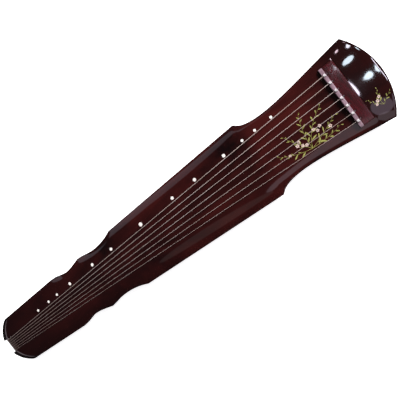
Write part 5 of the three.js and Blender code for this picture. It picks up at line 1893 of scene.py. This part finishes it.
class GUQIN_OT_tail_fittings(bpy.types.Operator):
    """Make the tail nut, its support, the crown corners and the goose feet"""
    bl_idname = "guqin.tail_fittings"
    bl_label = "Tail fittings"

    def execute(self, context):
        body = Body()
        make_nut(body)
        for word, side in (("far", 1), ("near", -1)):
            make_crown(body, word, side)
            make_foot(body, word, side)
            finish_node("foot_socket_" + word, "hardwood")
        return {"FINISHED"}


class GUQIN_OT_strings(bpy.types.Operator):
    """Make the seven strings and their silk loops"""
    bl_idname = "guqin.strings"
    bl_label = "Strings"

    def execute(self, context):
        body = Body()
        for n in range(1, STRING_COUNT + 1):
            make_string(body, n)
            make_silk(body, n)
        return {"FINISHED"}


class GUQIN_OT_studs(bpy.types.Operator):
    """Make the row of shell studs"""
    bl_idname = "guqin.studs"
    bl_label = "Shell studs"

    def execute(self, context):
        make_studs(Body())
        return {"FINISHED"}


class GUQIN_OT_sprigs(bpy.types.Operator):
    """Make the painted sprigs"""
    bl_idname = "guqin.sprigs"
    bl_label = "Painted sprigs"

    def execute(self, context):
        make_sprigs(Body())
        return {"FINISHED"}


class GUQIN_OT_stage(bpy.types.Operator):
    """Make the floor, the studio light and the camera"""
    bl_idname = "guqin.stage"
    bl_label = "Stage"

    def execute(self, context):
        make_stage()
        return {"FINISHED"}


OPERATORS = (
    GUQIN_OT_boards, GUQIN_OT_head_fittings, GUQIN_OT_tail_fittings, GUQIN_OT_strings, GUQIN_OT_studs,
    GUQIN_OT_sprigs, GUQIN_OT_stage)


class GUQIN_PT_panel(bpy.types.Panel):
    """Buttons for each group of pieces, and their settings"""
    bl_idname = "GUQIN_PT_panel"
    bl_label = "Guqin"
    bl_space_type = "VIEW_3D"
    bl_region_type = "UI"
    bl_category = "Guqin"

    def draw(self, context):
        for operator in OPERATORS:
            self.layout.operator(operator.bl_idname)
        for name, group in SETTINGS.items():
            settings = getattr(context.scene, name)
            box = self.layout.box()
            for key in group.__annotations__:
                box.prop(settings, key)


def register():
    for cls in (*SETTINGS.values(), *OPERATORS, GUQIN_PT_panel):
        bpy.utils.register_class(cls)
    for name, group in SETTINGS.items():
        setattr(bpy.types.Scene, name, bpy.props.PointerProperty(type=group))


def unregister():
    for name in SETTINGS:
        delattr(bpy.types.Scene, name)
    for cls in (GUQIN_PT_panel, *reversed(OPERATORS), *SETTINGS.values()):
        bpy.utils.unregister_class(cls)


def main():
    register()
    bpy.ops.guqin.boards()
    bpy.ops.guqin.head_fittings()
    bpy.ops.guqin.tail_fittings()
    bpy.ops.guqin.strings()
    bpy.ops.guqin.studs()
    bpy.ops.guqin.sprigs()
    bpy.ops.guqin.stage()


if __name__ == "__main__":
    main()
